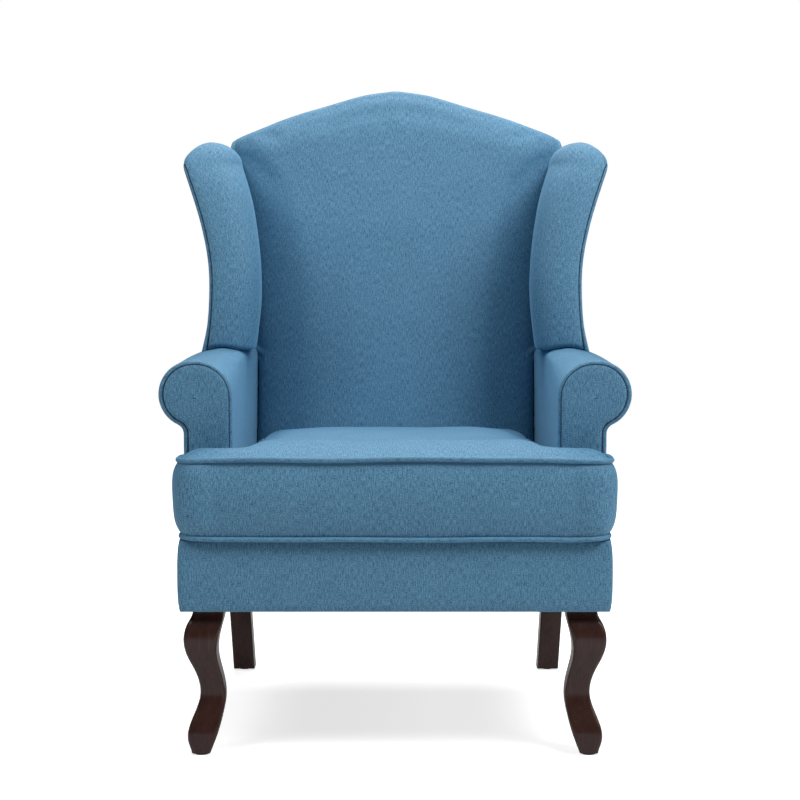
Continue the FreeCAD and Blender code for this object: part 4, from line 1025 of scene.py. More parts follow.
print("points pressed by the arms", int(between.sum()))

# %% [markdown]
# ## Filling the back, settling the rest
# The back is tight upholstery over foam: its face may swell by five millimetres, and its hidden side
# and its foot stay where they are. The wings and the arms lie tight on boards and only settle.

# %% Fill the back and round the covers
BACK_PRESSURE = 3
BACK_SWELL = 5 * MM
FACE_AHEAD = 70 * MM  # the face lies at least this far ahead of the outside back
FOOT_HELD = 40 * MM
places = places_of(inside_back.data)
loose = (places[:, 1] < rear_y(places[:, 2], FACE_AHEAD)) & (places[:, 2] > deck_z + FOOT_HELD)
stuff(inside_back, loose, BACK_PRESSURE, BACK_SWELL)
settle(inside_back, height=2 * MM, width=160 * MM, seed=11)
settle(right_wing, height=1.2 * MM, width=110 * MM, seed=23)
settle(right_arm, height=0.8 * MM, width=120 * MM, seed=31)
for piece in (cushion, inside_back, right_wing, right_arm):
    smooth_piece(piece)
left_wing = mirror_piece(right_wing, "left_wing_cover")
left_arm = mirror_piece(right_arm, "left_arm_cover")
print("mirrored", left_wing.name, left_arm.name)

# %% [markdown]
# ## Welts
# A welt is a cord wrapped in a strip of the same cloth and sewn into the seam. A bevelled curve would
# do, but a tube of mesh along the seam carries its own cloth map, so the strip shows the weave too.

# %% Cords
WELT_SIDES = 14
WELT_STEP = 5 * MM
FIRST_SIDE = (0.31, 0.17, 0.94)  # no welt starts along this direction
welt_centre = WELT / 2


def tube(name, path, radius, closed=False):
    """A round cord along a path of points, with the cloth wrapped round it."""
    path = np.asarray(path, float)
    count = len(path)
    ahead = np.roll(path, -1, axis=0) - np.roll(path, 1, axis=0)
    if not closed:
        ahead[0] = path[1] - path[0]
        ahead[-1] = path[-1] - path[-2]
    ahead /= np.linalg.norm(ahead, axis=1, keepdims=True)
    side = np.cross(ahead[0], FIRST_SIDE)
    turn = np.linspace(0, 2 * math.pi, WELT_SIDES, endpoint=False)[:, None]
    rings = []
    for point, direction in zip(path, ahead):
        side = side - direction * side.dot(direction)
        side /= np.linalg.norm(side)
        other = np.cross(direction, side)
        rings.append(point + radius * (np.cos(turn) * side + np.sin(turn) * other))
    number, faces = ring_quads(count, WELT_SIDES, closed)
    if not closed:
        faces += [tuple(number[0, ::-1]), tuple(number[-1])]
    way = np.array(rings + rings[:1] if closed else rings)
    cloth_map = np.stack((lengths(way, 1), lengths(way, 0)), axis=2)[:count]
    piece = new_piece(name, way[:count].reshape(-1, 3), faces, cloth_map.reshape(-1, 2))
    for polygon in piece.data.polygons:
        polygon.use_smooth = True
    print(name, "rings", count)
    return piece


print("welt", round(WELT / MM, 1), "mm thick")

# %% Even and soft paths


def even(path, step, closed=False):
    """Points at even distances along a path."""
    path = np.asarray(path, float)
    if closed:
        path = np.concatenate((path, path[:1]))
    gaps = np.linalg.norm(np.diff(path, axis=0), axis=1)
    total = np.insert(np.cumsum(gaps), 0, 0)
    count = max(2, round(total[-1] / step))
    where = np.linspace(0, total[-1], count + 1)
    if closed:
        where = where[:-1]
    return np.stack([np.interp(where, total, path[:, k]) for k in range(3)], axis=1)


def soften(path, rounds, closed):
    """Takes the corners off a path."""
    path = np.array(path, float)
    for _ in range(rounds):
        middle = (np.roll(path, 1, axis=0) + 2 * path + np.roll(path, -1, axis=0)) / 4
        if not closed:
            middle[0] = path[0]
            middle[-1] = path[-1]
        path = middle
    return path


print("a line of 20 mm gets", len(even([(0, 0, 0), (20 * MM, 0, 0)], WELT_STEP)), "points")

# %% [markdown]
# ## The welts of the cushion and the arms
# The cushion's welts lie just outside its two seams, so they use the same rim. The arm's welt runs
# round the facing, from the deck over the roll and down to the deck again on the outside.

# %% Cushion and arm welts
SEAM_SOFTENING = 3
welts = {}
seams = (
    ("cushion_top_welt_cord", rim_high, 0, -0.6 * MM),
    ("cushion_bottom_welt_cord", rim_low, EAR_TUCK, -0.8 * MM),
)
for name, z, tuck, apart in seams:
    ring = rim_points + rim_out * (welt_centre + apart)
    ring[:, 0] -= np.sign(ring[:, 0]) * rim_ear * tuck
    ring = np.column_stack((ring[:, 0], lean_rear(ring[:, 1], z), z))
    path = soften(even(ring, WELT_STEP, True), SEAM_SOFTENING, True)
    welts[name] = tube(name, path, welt_centre, True)
welt_foot_z = deck_z + 1 * MM
outline = arm_outline(welt_centre, FRONT_CORNER, arm_front_z, welt_foot_z)
outline = np.concatenate((outline, [(seat_half - welt_centre, welt_foot_z)]))
path = np.column_stack((outline[:, 0], np.full(len(outline), board_y - welt_centre), outline[:, 1]))
welts["right_arm_welt_cord"] = tube("right_arm_welt_cord", even(path, WELT_STEP), welt_centre)
print("welts", sorted(welts))

# %% [markdown]
# ## The welt of the wing
# It runs up the outer front edge in an S, turns a small corner at the foot of the dome and goes back
# along the wing's outside to the back. The path is built point by point and then softened, which
# is less work than fitting arcs to it.

# %% Wing welt
KNEE_AHEAD = 101 * MM  # where the wing's outside bends into the line of the back
WELT_FLARE = 4 * MM
FLARE_REACH = 40 * MM
WING_SOFTENING = 6
path = []
for z in np.linspace(arm_rear_z - 4 * MM, DOME_START - 2 * MM, 40):
    flare = WELT_FLARE * max(0, 1 - (z - arm_rear_z) / FLARE_REACH)
    x = wing_size(z, WING_OUTERS) - welt_centre + flare
    path.append((x, seat_front + wing_size(z, WING_FRONTS) + WELT_BACK, z))
corner_x, corner_y, corner_z = path[-1]
for turn in np.linspace(0, math.pi / 2, 6)[1:]:
    back = corner_y + 12 * MM * (1 - math.cos(turn))
    path.append((corner_x - 2 * MM * turn, back, corner_z + 6 * MM * math.sin(turn)))
top_z = path[-1][2]
path.append((seat_half - welt_centre, rear_y(DOME_START, KNEE_AHEAD), top_z))
path.append((seat_half - welt_centre, rear_y(top_z, 4 * MM), top_z))
path = soften(even(path, WELT_STEP), WING_SOFTENING, False)
welts["right_wing_welt_cord"] = tube("right_wing_welt_cord", path, welt_centre)
for name in ("arm_welt_cord", "wing_welt_cord"):
    welts["left_" + name] = mirror_piece(welts["right_" + name], "left_" + name)
print("wing welt to", round(top_z, 3))

# %% [markdown]
# ## The arm facings
# The arm facing is a flat padded shape inside its welt. Its rim follows the arm's own outline, set in
# by less than the welt's thickness, so that it covers part of the welt as a sewn facing does. From
# the rim, rings run to a spine in the middle, which keeps all faces long and even.

# %% Outline of the facing
FACING_IN = 3.9 * MM  # the facing covers the rest of its welt
FACING_GROOVE = 3.3 * MM
FACING_SHIFT = 1.9 * MM  # more of the welt shows on the outside of the roll
SPINE_RISE = 30 * MM
SPINE_BEND = 60 * MM


def facing_outline(inset):
    """The whole facing, set in from the arm's outline, with its lower part and foot."""
    outer_x = seat_half - inset
    top = arm_outline(inset, FRONT_CORNER, arm_front_z, welt_foot_z)
    outer_side = run((outer_x, top[-1, 1]), (outer_x, welt_foot_z), 12)
    foot = run((outer_x, welt_foot_z), (arm_in + inset, welt_foot_z), 8)
    return np.concatenate((top, outer_side, foot))


outline = facing_outline(FACING_IN + FACING_GROOVE)
outline[:, 0] -= FACING_SHIFT
groove = facing_outline(FACING_IN)
groove[:, 0] -= FACING_SHIFT
seam = facing_outline(WELT + 0.8 * MM)
spine_low = deck_z + SPINE_RISE
spine_high = arm_front_z - FRONT_CORNER
spine_x = (arm_in + seat_half) / 2
roll_x = (arm_in + arm_out) / 2
spine_heights = [spine_low, spine_high - SPINE_BEND, spine_high]
spine = np.column_stack((
    np.interp(outline[:, 1], spine_heights, [spine_x, spine_x, roll_x]),
    np.clip(outline[:, 1], spine_low, spine_high),
))
print("facing outline points", len(outline))

# %% Facing
FACING_SWELL = 1.6 * MM
FACING_EDGE = 0.16  # share of the way to the spine on which the facing swells
FACING_SHARES = (0, 0.03, 0.08, FACING_EDGE, 0.3, 0.5, 0.75, 1)


def facing_ring(ring, y):
    """An outline seen from the front, at depth y."""
    return np.column_stack((ring[:, 0], np.full(len(ring), y), ring[:, 1]))


def closed_shell(name, rings):
    """Rings from the rim to a spine; the first ring is closed across its flat side."""
    rings = np.array(rings)
    count, around = rings.shape[:2]
    number, quads = ring_quads(count, around)
    places = rings.reshape(-1, 3)
    # the band of faces beside the welt takes the painted seam shade
    seam = range(1 + 2 * around, 1 + 3 * around)
    return new_piece(name, places, [tuple(number[0])] + quads, places[:, [0, 2]], seam)


welt_front = board_y - WELT
facing_rings = [
    facing_ring(seam, board_y - 0.4 * MM),
    facing_ring(seam, welt_front + 1.6 * MM),
    facing_ring(groove, welt_front - 0.2 * MM),
]
for share in FACING_SHARES:
    full = FACING_SWELL * (1 - (1 - min(share / FACING_EDGE, 1)) ** 2.2)
    facing_rings.append(facing_ring(outline + (spine - outline) * share, welt_front - 1.6 * MM - full))
right_facing = closed_shell("right_arm_facing_cover", facing_rings)
print("facing points", len(right_facing.data.vertices))

# %% [markdown]
# ## The front border
# The border is a thin padded strip over the front rail that turns round both corners. It is a grid of
# points with a slight swell, whose upper and lower edges turn in towards their seams.

# %% Border
BORDER_ROUND = 7 * MM
BORDER_ROWS = 14
border_rear = border_high.y
rows = np.linspace(seat_bottom - 1.2 * MM, deck_z - 0.5 * MM, BORDER_ROWS)
turn = np.linspace(math.pi / 2, 0, 6)
end_x = seat_half - BORDER_ROUND + BORDER_ROUND * np.sin(turn)
end_y = seat_front + BORDER_ROUND * (1 - np.cos(turn))
middle_x = np.linspace(seat_half - BORDER_ROUND, -seat_half + BORDER_ROUND, 67)[1:-1]
line_x = np.concatenate((end_x, middle_x, -end_x[::-1]))
line_y = np.concatenate((end_y, np.full(len(middle_x), seat_front), end_y[::-1]))
from_middle = np.abs(np.linspace(-1, 1, BORDER_ROWS))[:, None]
lift = 1 - from_middle ** 2.5
edge_in = from_middle ** 6
outer = np.zeros((BORDER_ROWS, len(line_x), 3))
outer[:, :, 0] = line_x * (1 + (2 * lift - 1.5 * edge_in) * MM / seat_half)
outer[:, :, 1] = line_y + (-1.5 * lift + 2.5 * edge_in) * MM
outer[:, :, 2] = rows[:, None]
inner = outer.copy()
inner[:, :, 0] = np.clip(line_x, -seat_half + 1.5 * MM, seat_half - 1.5 * MM)
inner[:, :, 1] = border_rear - 0.3 * MM
border = slab("front_border_cover", outer, inner)
print("border points", len(border.data.vertices))

# %% [markdown]
# ## Outside arms and wings
# These panels are stretched over open frame, so they are almost flat: a low pillow that falls to the
# seams on all four sides. The outside arm has a step, because in front of the arm it ends at the deck.

# %% Outside arms
SIDE_SWELL = 4 * MM
curl_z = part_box("right_outside_arm")[1].z
low_rows = np.linspace(seat_bottom, deck_z, 14)
high_rows = np.linspace(deck_z, curl_z, 18)[1:]
front_columns = np.linspace(border_rear + 0.4 * MM, board_y, 12)
rear_shares = np.linspace(0, 1, 46)[1:]


def swell(grid, height):
    """A low pillow: full in the middle, falling to the seams on all four sides."""
    a = np.linspace(-1, 1, grid.shape[0])[:, None]
    b = np.linspace(-1, 1, grid.shape[1])[None, :]
    return height * (1 - np.abs(a) ** 4) * (1 - np.abs(b) ** 8)


def side_grid(x):
    """The outside arm seen from the side, row by row up to the curl under the roll."""
    grid = []
    for z in np.concatenate((low_rows, high_rows)):
        rear = rear_y(z, BACK_PANEL_AHEAD)
        row = [(x, y, z) for y in front_columns]
        row += [(x, board_y + (rear - board_y) * share, z) for share in rear_shares]
        grid.append(row)
    return np.array(grid)


def before_arm(i, j):
    """Cells over the deck and in front of the arm, which the panel doesn't have."""
    return i >= len(low_rows) - 1 and j < len(front_columns) - 1


outer = side_grid(seat_half)
outer[:, :, 0] += swell(outer, SIDE_SWELL) - 1.2 * MM
inner = side_grid(stump_out + 0.4 * MM)
right_outside_arm = slab("right_outside_arm_cover", outer, inner, before_arm)
print("outside arm points", len(right_outside_arm.data.vertices))

# %% Outside wings
WING_SWELL = 2 * MM
WING_PANEL = 6.5 * MM
TO_KNEE = 29
PAST_KNEE = 12
heights = np.linspace(arm_rear_z - 4.5 * MM, DOME_START + 2.5 * MM, 34)
outer = np.zeros((len(heights), TO_KNEE + PAST_KNEE - 1, 3))
for i, z in enumerate(heights):
    front_x = wing_size(z, WING_OUTERS)
    front_y = seat_front + wing_size(z, WING_FRONTS) + BOARD_FRONT
    knee_y = float(rear_y(z, KNEE_AHEAD))
    rear = float(rear_y(z, BACK_PANEL_AHEAD))
    to_knee = np.linspace(front_y, knee_y, TO_KNEE)
    along_y = np.concatenate((to_knee, np.linspace(knee_y, rear, PAST_KNEE)[1:]))
    x = np.interp(along_y, [front_y, knee_y, rear], [front_x, seat_half, seat_half])
    outer[i] = np.column_stack((x, along_y, np.full(len(x), z)))
inner = outer.copy()
inner[:, :, 0] -= WING_PANEL
outer[:, :, 0] += swell(outer, WING_SWELL) - 1.5 * MM
right_outside_wing = slab("right_outside_wing_cover", outer, inner)
print("outside wing points", len(right_outside_wing.data.vertices))

# %% [markdown]
# ## The outside back
# One panel closes the chair behind, from the seat rail up to the crest, whose line its top follows.
# It is tacked on last on a real chair, over the edges of all the others, and so is made last here.

# %% Outside back
BACK_SWELL_OUT = 3 * MM
BACK_PANEL = 4.6 * MM
rows = np.linspace(0, 1, 64)
columns = np.linspace(-1, 1, 60)
crest_drop = crest_z - panel_high.z
outer = np.zeros((len(rows), len(columns), 3))
for j, u in enumerate(columns):
    top = float(crest_at(u)) - crest_drop
    z = seat_bottom + (top - seat_bottom) * rows
    outer[:, j] = np.column_stack((np.full(len(rows), u * seat_half), rear_y(z, 0), z))
inner = outer.copy()
inner[:, :, 1] -= BACK_PANEL / lean_cos
outer[:, :, 1] += swell(outer, BACK_SWELL_OUT) - 2 * MM
outside_back = slab("outside_back_cover", outer, inner)
for piece in (right_facing, border, right_outside_arm, right_outside_wing, outside_back):
    smooth_piece(piece)
left_facing = mirror_piece(right_facing, "left_arm_facing_cover")
left_outside_arm = mirror_piece(right_outside_arm, "left_outside_arm_cover")
left_outside_wing = mirror_piece(right_outside_wing, "left_outside_wing_cover")
print("mirrored", left_facing.name, left_outside_arm.name, left_outside_wing.name)

# %% [markdown]
# ## The deck
# Under the cushion lies the deck: a strip of the blue cloth in front, where it might show, and plain
# platform cloth behind a seam. One grid makes both, and the seam is a narrow dip across it.

# %% Deck
DECK_STRIP = 110 * MM
DECK_CLEAR = 0.4 * MM
DECK_SEAM = 6 * MM
DECK_COVER = 0.3 * MM
deck_in = arm_in - DECK_CLEAR
deck_notch_y = board_y - DECK_CLEAR
strip_y = deck_low.y + DECK_STRIP
seam_y = strip_y + DECK_SEAM / 2
deck_x = np.concatenate((
    np.linspace(-deck_high.x, -deck_in, 8)[:-1],
    np.linspace(-deck_in, deck_in, 40),
    np.linspace(deck_in, deck_high.x, 8)[1:],
))
deck_y = np.concatenate((
    np.linspace(deck_low.y, deck_notch_y, 9)[:-1],
    np.linspace(deck_notch_y, strip_y, 4)[:-1],
    np.linspace(strip_y, strip_y + DECK_SEAM, 4)[:-1],
    np.linspace(strip_y + DECK_SEAM, deck_high.y, 34),
))


def beside_deck(i, j):
    """Cells beside the arms, where the deck is narrow."""
    return deck_y[i] > deck_notch_y - MM and (deck_x[j] < -deck_in - MM or deck_x[j + 1] > deck_in + MM)


grid_x, grid_y = np.meshgrid(deck_x, deck_y)
seam_dip = 2 * MM * np.exp(-((grid_y - seam_y) / (DECK_SEAM / 2)) ** 2)
outer = np.stack((grid_x, grid_y, deck_high.z - DECK_COVER - seam_dip), axis=2)
inner = np.stack((grid_x, grid_y, np.full_like(grid_x, deck_low.z + DECK_COVER)), axis=2)
deck = slab("deck_cover", outer, inner, beside_deck)
print("deck points", len(deck.data.vertices))

# %% [markdown]
# ## The dust cover
# The seat is closed below by a thin black cloth, tacked to the rails, cut round the legs and sagging a
# little. Grid lines pass through the sides of every leg, so leaving out cells cuts the cloth exactly.

# %% Lines of the dust cover
LEG_MARGIN = 3 * MM
DUST_STEP = 20 * MM
dust_low, dust_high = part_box("dust_cover")


def leg_top(name):
    """Plan box of a leg where it passes the dust cover."""
    near = [v.co for v in nodes[name].data.vertices if v.co.z > dust_low.z - 4 * MM]
    xs = [abs(p.x) for p in near]
    ys = [p.y for p in near]
    return min(xs) - LEG_MARGIN, max(xs) + LEG_MARGIN, min(ys) - LEG_MARGIN, max(ys) + LEG_MARGIN


def lines(low, high, stops, step):
    """Grid lines from low to high that pass through every stop."""
    marks = sorted([low, high] + [t for t in stops if low < t < high])
    parts = [np.linspace(a, b, max(2, round((b - a) / step) + 1))[:-1] for a, b in zip(marks, marks[1:])]
    return np.append(np.concatenate(parts), high)


holes = [leg_top("right_front_leg"), leg_top("right_rear_leg")]
side_stops = [side * value for hole in holes for value in hole[:2] for side in (-1, 1)]
depth_stops = [value for hole in holes for value in hole[2:]]
dust_x = lines(dust_low.x, dust_high.x, side_stops, DUST_STEP)
dust_y = lines(dust_low.y, dust_high.y, depth_stops, DUST_STEP)
print("dust cover lines", len(dust_x), "by", len(dust_y))

# %% Dust cover
DUST_THICK = 0.6 * MM
DUST_SAG = 4 * MM
DUST_EDGE = 60 * MM  # along the rails the cloth lies flat


def at_leg(i, j):
    """Cells where a leg passes."""
    x = abs(dust_x[j] + dust_x[j + 1]) / 2
    y = (dust_y[i] + dust_y[i + 1]) / 2
    return any(x0 < x < x1 and y0 < y < y1 for x0, x1, y0, y1 in holes)


grid_x, grid_y = np.meshgrid(dust_x, dust_y)
middle_y = (dust_low.y + dust_high.y) / 2
half_depth = (dust_high.y - dust_low.y) / 2
from_sides = 1 - ramp(np.abs(grid_x), 0, dust_high.x - DUST_EDGE)
from_ends = 1 - ramp(np.abs(grid_y - middle_y), 0, half_depth - DUST_EDGE)
sag = DUST_SAG * np.sin(from_sides * math.pi / 2) * np.sin(from_ends * math.pi / 2)
outer = np.stack((grid_x, grid_y, dust_high.z - DUST_THICK - sag), axis=2)
inner = np.stack((grid_x, grid_y, dust_high.z - sag), axis=2)
dust_cover = slab("dust_cover_cloth", outer, inner, at_leg)
dust_area = (dust_high.x - dust_low.x) * (dust_high.y - dust_low.y)
for x0, x1, y0, y1 in holes:
    dust_area -= 2 * (min(x1, dust_high.x) - x0) * (min(y1, dust_high.y) - max(y0, dust_low.y))
print("dust cover area", round(dust_area, 3))

# %% [markdown]
# ## The zip
# The cushion's cover opens at the back with a zip: a tape and a chain of coils. One coil is modelled
# as a bevelled cylinder and repeated; the slider that runs on it comes from the construction.

# %% Zip
COIL_PITCH = 4 * MM
COIL_RADIUS = 1.1 * MM
COIL_LENGTH = 5 * MM
COIL_BEVEL = 0.5 * MM
zip_low, zip_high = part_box("cushion_zip")
zip_z = (zip_low.z + zip_high.z) / 2
tape_rows = np.linspace(zip_low.z, zip_high.z, 9)
tape_columns = np.linspace(zip_low.x, zip_high.x, 60)
grid_x, grid_z = np.meshgrid(tape_columns, tape_rows)
outer = np.stack((grid_x, np.full_like(grid_x, zip_low.y + 1.1 * MM), grid_z), axis=2)
inner = outer.copy()
inner[:, :, 1] = zip_low.y + 0.1 * MM
zip_tape = slab("zip_tape_band", outer, inner)
bpy.ops.object.select_all(action="DESELECT")
bpy.ops.mesh.primitive_cylinder_add(vertices=12, radius=COIL_RADIUS, depth=COIL_LENGTH)
zip_coils = bpy.context.active_object
zip_coils.name = "zip_coils"
bpy.ops.object.mode_set(mode="EDIT")
bpy.ops.mesh.select_all(action="SELECT")
bpy.ops.mesh.bevel(offset=COIL_BEVEL, segments=2)
first_coil = (zip_low.x + 2 * COIL_PITCH, zip_low.y + 1.3 * MM, zip_z)
bpy.ops.transform.translate(value=first_coil)
bpy.ops.object.mode_set(mode="OBJECT")
row = zip_coils.modifiers.new("row", "ARRAY")
row.use_relative_offset = False
row.use_constant_offset = True
row.constant_offset_displace = (COIL_PITCH, 0, 0)
row.count = round((zip_high.x - zip_low.x) / COIL_PITCH) - 4
bpy.ops.object.modifier_apply(modifier="row")
bpy.ops.object.shade_smooth()
print("zip coil faces", len(zip_coils.data.polygons))

# %% [markdown]
# ## Bodies and what each cover stands for
# Every cover rides on the body that carries it and hides the plain solid it stands for. A cover that
# rode on the wrong body would stay behind when the cushion is pulled out. Beside each padded cover
# the table lists how much of its room is filled.

# %% Riding and replacing
CUSHION_PARTS = ("core", "top_panel", "boxing", "bottom_panel")
covers = [
    (inside_back, "chair", ["inside_back"], 0.85),
    (right_wing, "chair", ["right_wing_pad"], 0.9),
    (left_wing, "chair", ["left_wing_pad"], 0.9),
    (right_arm, "chair", ["right_arm_pad"], 0.9),
    (left_arm, "chair", ["left_arm_pad"], 0.9),
    (cushion, "seat_cushion", ["cushion_" + part for part in CUSHION_PARTS], 0.8),
    (right_facing, "chair", ["right_arm_facing"], 0.9),
    (left_facing, "chair", ["left_arm_facing"], 0.9),
    (border, "chair", ["front_border"], 0.9),
    (right_outside_arm, "chair", ["right_outside_arm"], 0.9),
    (left_outside_arm, "chair", ["left_outside_arm"], 0.9),
    (right_outside_wing, "chair", ["right_outside_wing"], 0.9),
    (left_outside_wing, "chair", ["left_outside_wing"], 0.9),
    (outside_back, "chair", ["outside_back"], 0.9),
]
for piece, body, stands_for, fill in covers:
    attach(piece, body)
    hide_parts(*stands_for)
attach(deck, "chair")
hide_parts("deck_pad")
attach(dust_cover, "chair")
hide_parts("dust_cover")
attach(zip_tape, "seat_cushion")
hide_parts("cushion_zip")
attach(zip_coils, "seat_cushion")
for name, piece in welts.items():
    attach(piece, "seat_cushion" if name.startswith("cushion") else "chair")
    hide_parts(name.replace("_cord", ""))
print("covers", len(covers), "welts", len(welts))

# %% [markdown]
# ## Woven cloth
# The cover is a melange weave: yarns of several blues, so it looks plain from afar and flecked up
# close. The flecks are long along the warp and short along the weft. A node group makes the pattern
# from the cloth map, and each cloth places it with its own colours.

# %% Nodes for sums and noise


def link(tree, a, b):
    """Joins an output to an input."""
    tree.links.new(a, b)


def math_node(tree, kind, a, b=None, clamp=False):
    """A sum of two terms, each of them a socket or a number."""
    node = tree.nodes.new("ShaderNodeMath")
    node.operation = kind
    node.use_clamp = clamp
    for socket, value in zip(node.inputs, (a, b)):
        if value is None:
            continue
        if isinstance(value, (int, float)):
            socket.default_value = value
        else:
            link(tree, value, socket)
    return node.outputs[0]


def stretched_noise(tree, vector, across, along, detail):
    """Noise whose grains are that wide across and along the cloth, in metres."""
    scale = tree.nodes.new("ShaderNodeMapping")
    scale.inputs["Scale"].default_value = (1 / across, 1 / along, 1)
    link(tree, vector, scale.inputs["Vector"])
    grain = tree.nodes.new("ShaderNodeTexNoise")
    grain.noise_dimensions = "2D"
    grain.inputs["Scale"].default_value = 1
    grain.inputs["Detail"].default_value = detail
    link(tree, scale.outputs["Vector"], grain.inputs["Vector"])
    return grain.outputs["Fac"]


print("nodes for sums and noise ready")

# %% Groups and mixed colours


def new_group(name, inputs, outputs):
    """An empty node group with named sockets, and its two ends."""
    tree = bpy.data.node_groups.new(name, "ShaderNodeTree")
    for way, sockets in (("INPUT", inputs), ("OUTPUT", outputs)):
        for socket, kind in sockets.items():
            tree.interface.new_socket(socket, in_out=way, socket_type="NodeSocket" + kind)
    return tree, tree.nodes.new("NodeGroupInput"), tree.nodes.new("NodeGroupOutput")


def colour_mix(tree, factor, dark, light):
    """A colour between two others, each of them a socket or a fixed colour."""
    mix = tree.nodes.new("ShaderNodeMix")
    mix.data_type = "RGBA"
    link(tree, factor, mix.inputs["Factor"])
    for socket, colour in zip(mix.inputs[6:8], (dark, light)):
        if isinstance(colour, tuple):
            socket.default_value = colour
        else:
            link(tree, colour, socket)
    return mix.outputs[2]


print("groups and mixed colours ready")

# %% [markdown]
# ## The weave
# Four noises stand for the yarns: long flecks along the warp, short ones along the weft, a fine grain
# and a faint cloud over all. Their weighted sum mixes the dark and the light yarn, and with a crossed
# wave for the threads it also gives the height of the cloth. A picture of cloth would be easier, but
# it would repeat and carry its own light.

# %% Weave
THREAD = 1.5 * MM
THREAD_HEIGHT = 0.35
YARNS = (  # width across, length along, detail, weight
    (1.5 * MM, 10 * MM, 1, 1.0),
    (5 * MM, 1.3 * MM, 1, 0.5),
    (1.5 * MM, 1.7 * MM, 1, 1.3),
    (40 * MM, 60 * MM, 2, 0.12),
)


def cloth_group():
    """Colour and height of the weave from the cloth map."""
    inputs = {"Vector": "Vector", "Dark": "Color", "Light": "Color", "Fleck": "Float"}
    tree, start, end = new_group("melange weave", inputs, {"Colour": "Color", "Height": "Float"})
    vector = start.outputs["Vector"]
    total = None
    for across, along, detail, weight in YARNS:
        yarn = stretched_noise(tree, vector, across, along, detail)
        share = math_node(tree, "MULTIPLY", math_node(tree, "SUBTRACT", yarn, 0.5), weight)
        total = share if total is None else math_node(tree, "ADD", total, share)
    fleck = math_node(tree, "MULTIPLY", total, start.outputs["Fleck"])
    fleck = math_node(tree, "ADD", fleck, 0.5, clamp=True)
    colour = colour_mix(tree, fleck, start.outputs["Dark"], start.outputs["Light"])
    link(tree, colour, end.inputs["Colour"])
    parts = tree.nodes.new("ShaderNodeSeparateXYZ")
    link(tree, vector, parts.inputs[0])
    turns = 2 * math.pi / THREAD
    over = math_node(tree, "SINE", math_node(tree, "MULTIPLY", parts.outputs[0], turns))
    under = math_node(tree, "SINE", math_node(tree, "MULTIPLY", parts.outputs[1], turns))
    threads = math_node(tree, "MULTIPLY", over, under)
    height = math_node(tree, "ADD", math_node(tree, "MULTIPLY", threads, THREAD_HEIGHT), total)
    link(tree, height, end.inputs["Height"])
    return tree


weave = cloth_group()
print("weave nodes", len(weave.nodes))

# %% [markdown]
# ## The cloth as a material
# The material places the weave on the cloth map and adds what the fibres do to light: a rough surface
# with a soft sheen that brightens the faces seen at a low angle. The faces beside the seams get painted
# shade: a dark cloth colour that deepens the narrow shadow beside a welt beyond what the light makes.

# %% Colours and patterned materials


def linear(r, g, b):
    """A colour as it looks on screen, turned into the values that light uses."""
    def one(c):
        c /= 255
        return c / 12.92 if c <= 0.04045 else ((c + 0.055) / 1.055) ** 2.4
    return (one(r), one(g), one(b), 1)


def new_material(name):
    """A material with its node tree and its shader."""
    material = bpy.data.materials.new(name)
    material.use_nodes = True
    tree = material.node_tree
    return material, tree, tree.nodes["Principled BSDF"]


def set_shader(shader, values):
    """Fixed values on the shader's sockets."""
    for socket, value in values.items():
        shader.inputs[socket].default_value = value


def patterned(tree, shader, pattern, vector, dark, light, relief):
    """Colour and relief of a shader from a pattern's node group."""
    group = tree.nodes.new("ShaderNodeGroup")
    group.node_tree = pattern
    group.inputs["Dark"].default_value = linear(*dark)
    group.inputs["Light"].default_value = linear(*light)
    link(tree, vector, group.inputs["Vector"])
    link(tree, group.outputs["Colour"], shader.inputs["Base Color"])
    strength, distance = relief
    bump = tree.nodes.new("ShaderNodeBump")
    bump.inputs["Strength"].default_value = strength
    bump.inputs["Distance"].default_value = distance
    link(tree, group.outputs["Height"], bump.inputs["Height"])
    link(tree, bump.outputs["Normal"], shader.inputs["Normal"])
    return group


print("middle grey lets through", round(linear(128, 128, 128)[0], 3), "of the light")

# %% Cloth
SHEEN_TINT = (150, 204, 238)
SHEEN_ROUGHNESS = 0.4
CLOTH_BUMP = (0.2, 0.4 * MM)  # strength, distance


def cloth_material(name, dark, light, fleck, rough, sheen):
    """Woven cloth of two yarn colours."""
    material, tree, shader = new_material(name)
    cloth_uv = tree.nodes.new("ShaderNodeUVMap")
    cloth_uv.uv_map = "cloth"
    group = patterned(tree, shader, weave, cloth_uv.outputs["UV"], dark, light, CLOTH_BUMP)
    group.inputs["Fleck"].default_value = fleck
    set_shader(shader, {
        "Roughness": rough,
        "Specular IOR Level": 0.5,
        "Sheen Weight": sheen,
        "Sheen Roughness": SHEEN_ROUGHNESS,
        "Sheen Tint": linear(*SHEEN_TINT),
    })
    return material


blue_cloth = cloth_material("blue_cloth", (43, 95, 127), (104, 157, 190), fleck=1.3, rough=0.7, sheen=0.45)
# painted seam shade: a dark cloth colour that stands for the shadow beside the welts
seam_cloth = cloth_material("seam_cloth", (8, 34, 54), (18, 52, 76), fleck=0.6, rough=0.95, sheen=0)
# each cover's second material is that painted seam shade
for piece, *_ in covers:
    piece.data.materials.append(blue_cloth)
    piece.data.materials.append(seam_cloth)
for piece in welts.values():
    piece.data.materials.append(blue_cloth)
print("cloth on", len(covers) + len(welts), "pieces")

# %% [markdown]
# ## Wood
# The legs are stained almost black and lacquered: dark wood under a clear coat, with faint grain. The
# hidden frame is plain beech. Wood is drawn as noise stretched along each piece's own length, which a
# picture of a board could only follow on flat pieces.

# %% Grain


def free_noise(tree, vector, scale, detail):
    """Noise of one scale in all directions."""
    spots = tree.nodes.new("ShaderNodeTexNoise")
    spots.inputs["Scale"].default_value = scale
    spots.inputs["Detail"].default_value = detail
    link(tree, vector, spots.inputs["Vector"])
    return spots.outputs["Fac"]


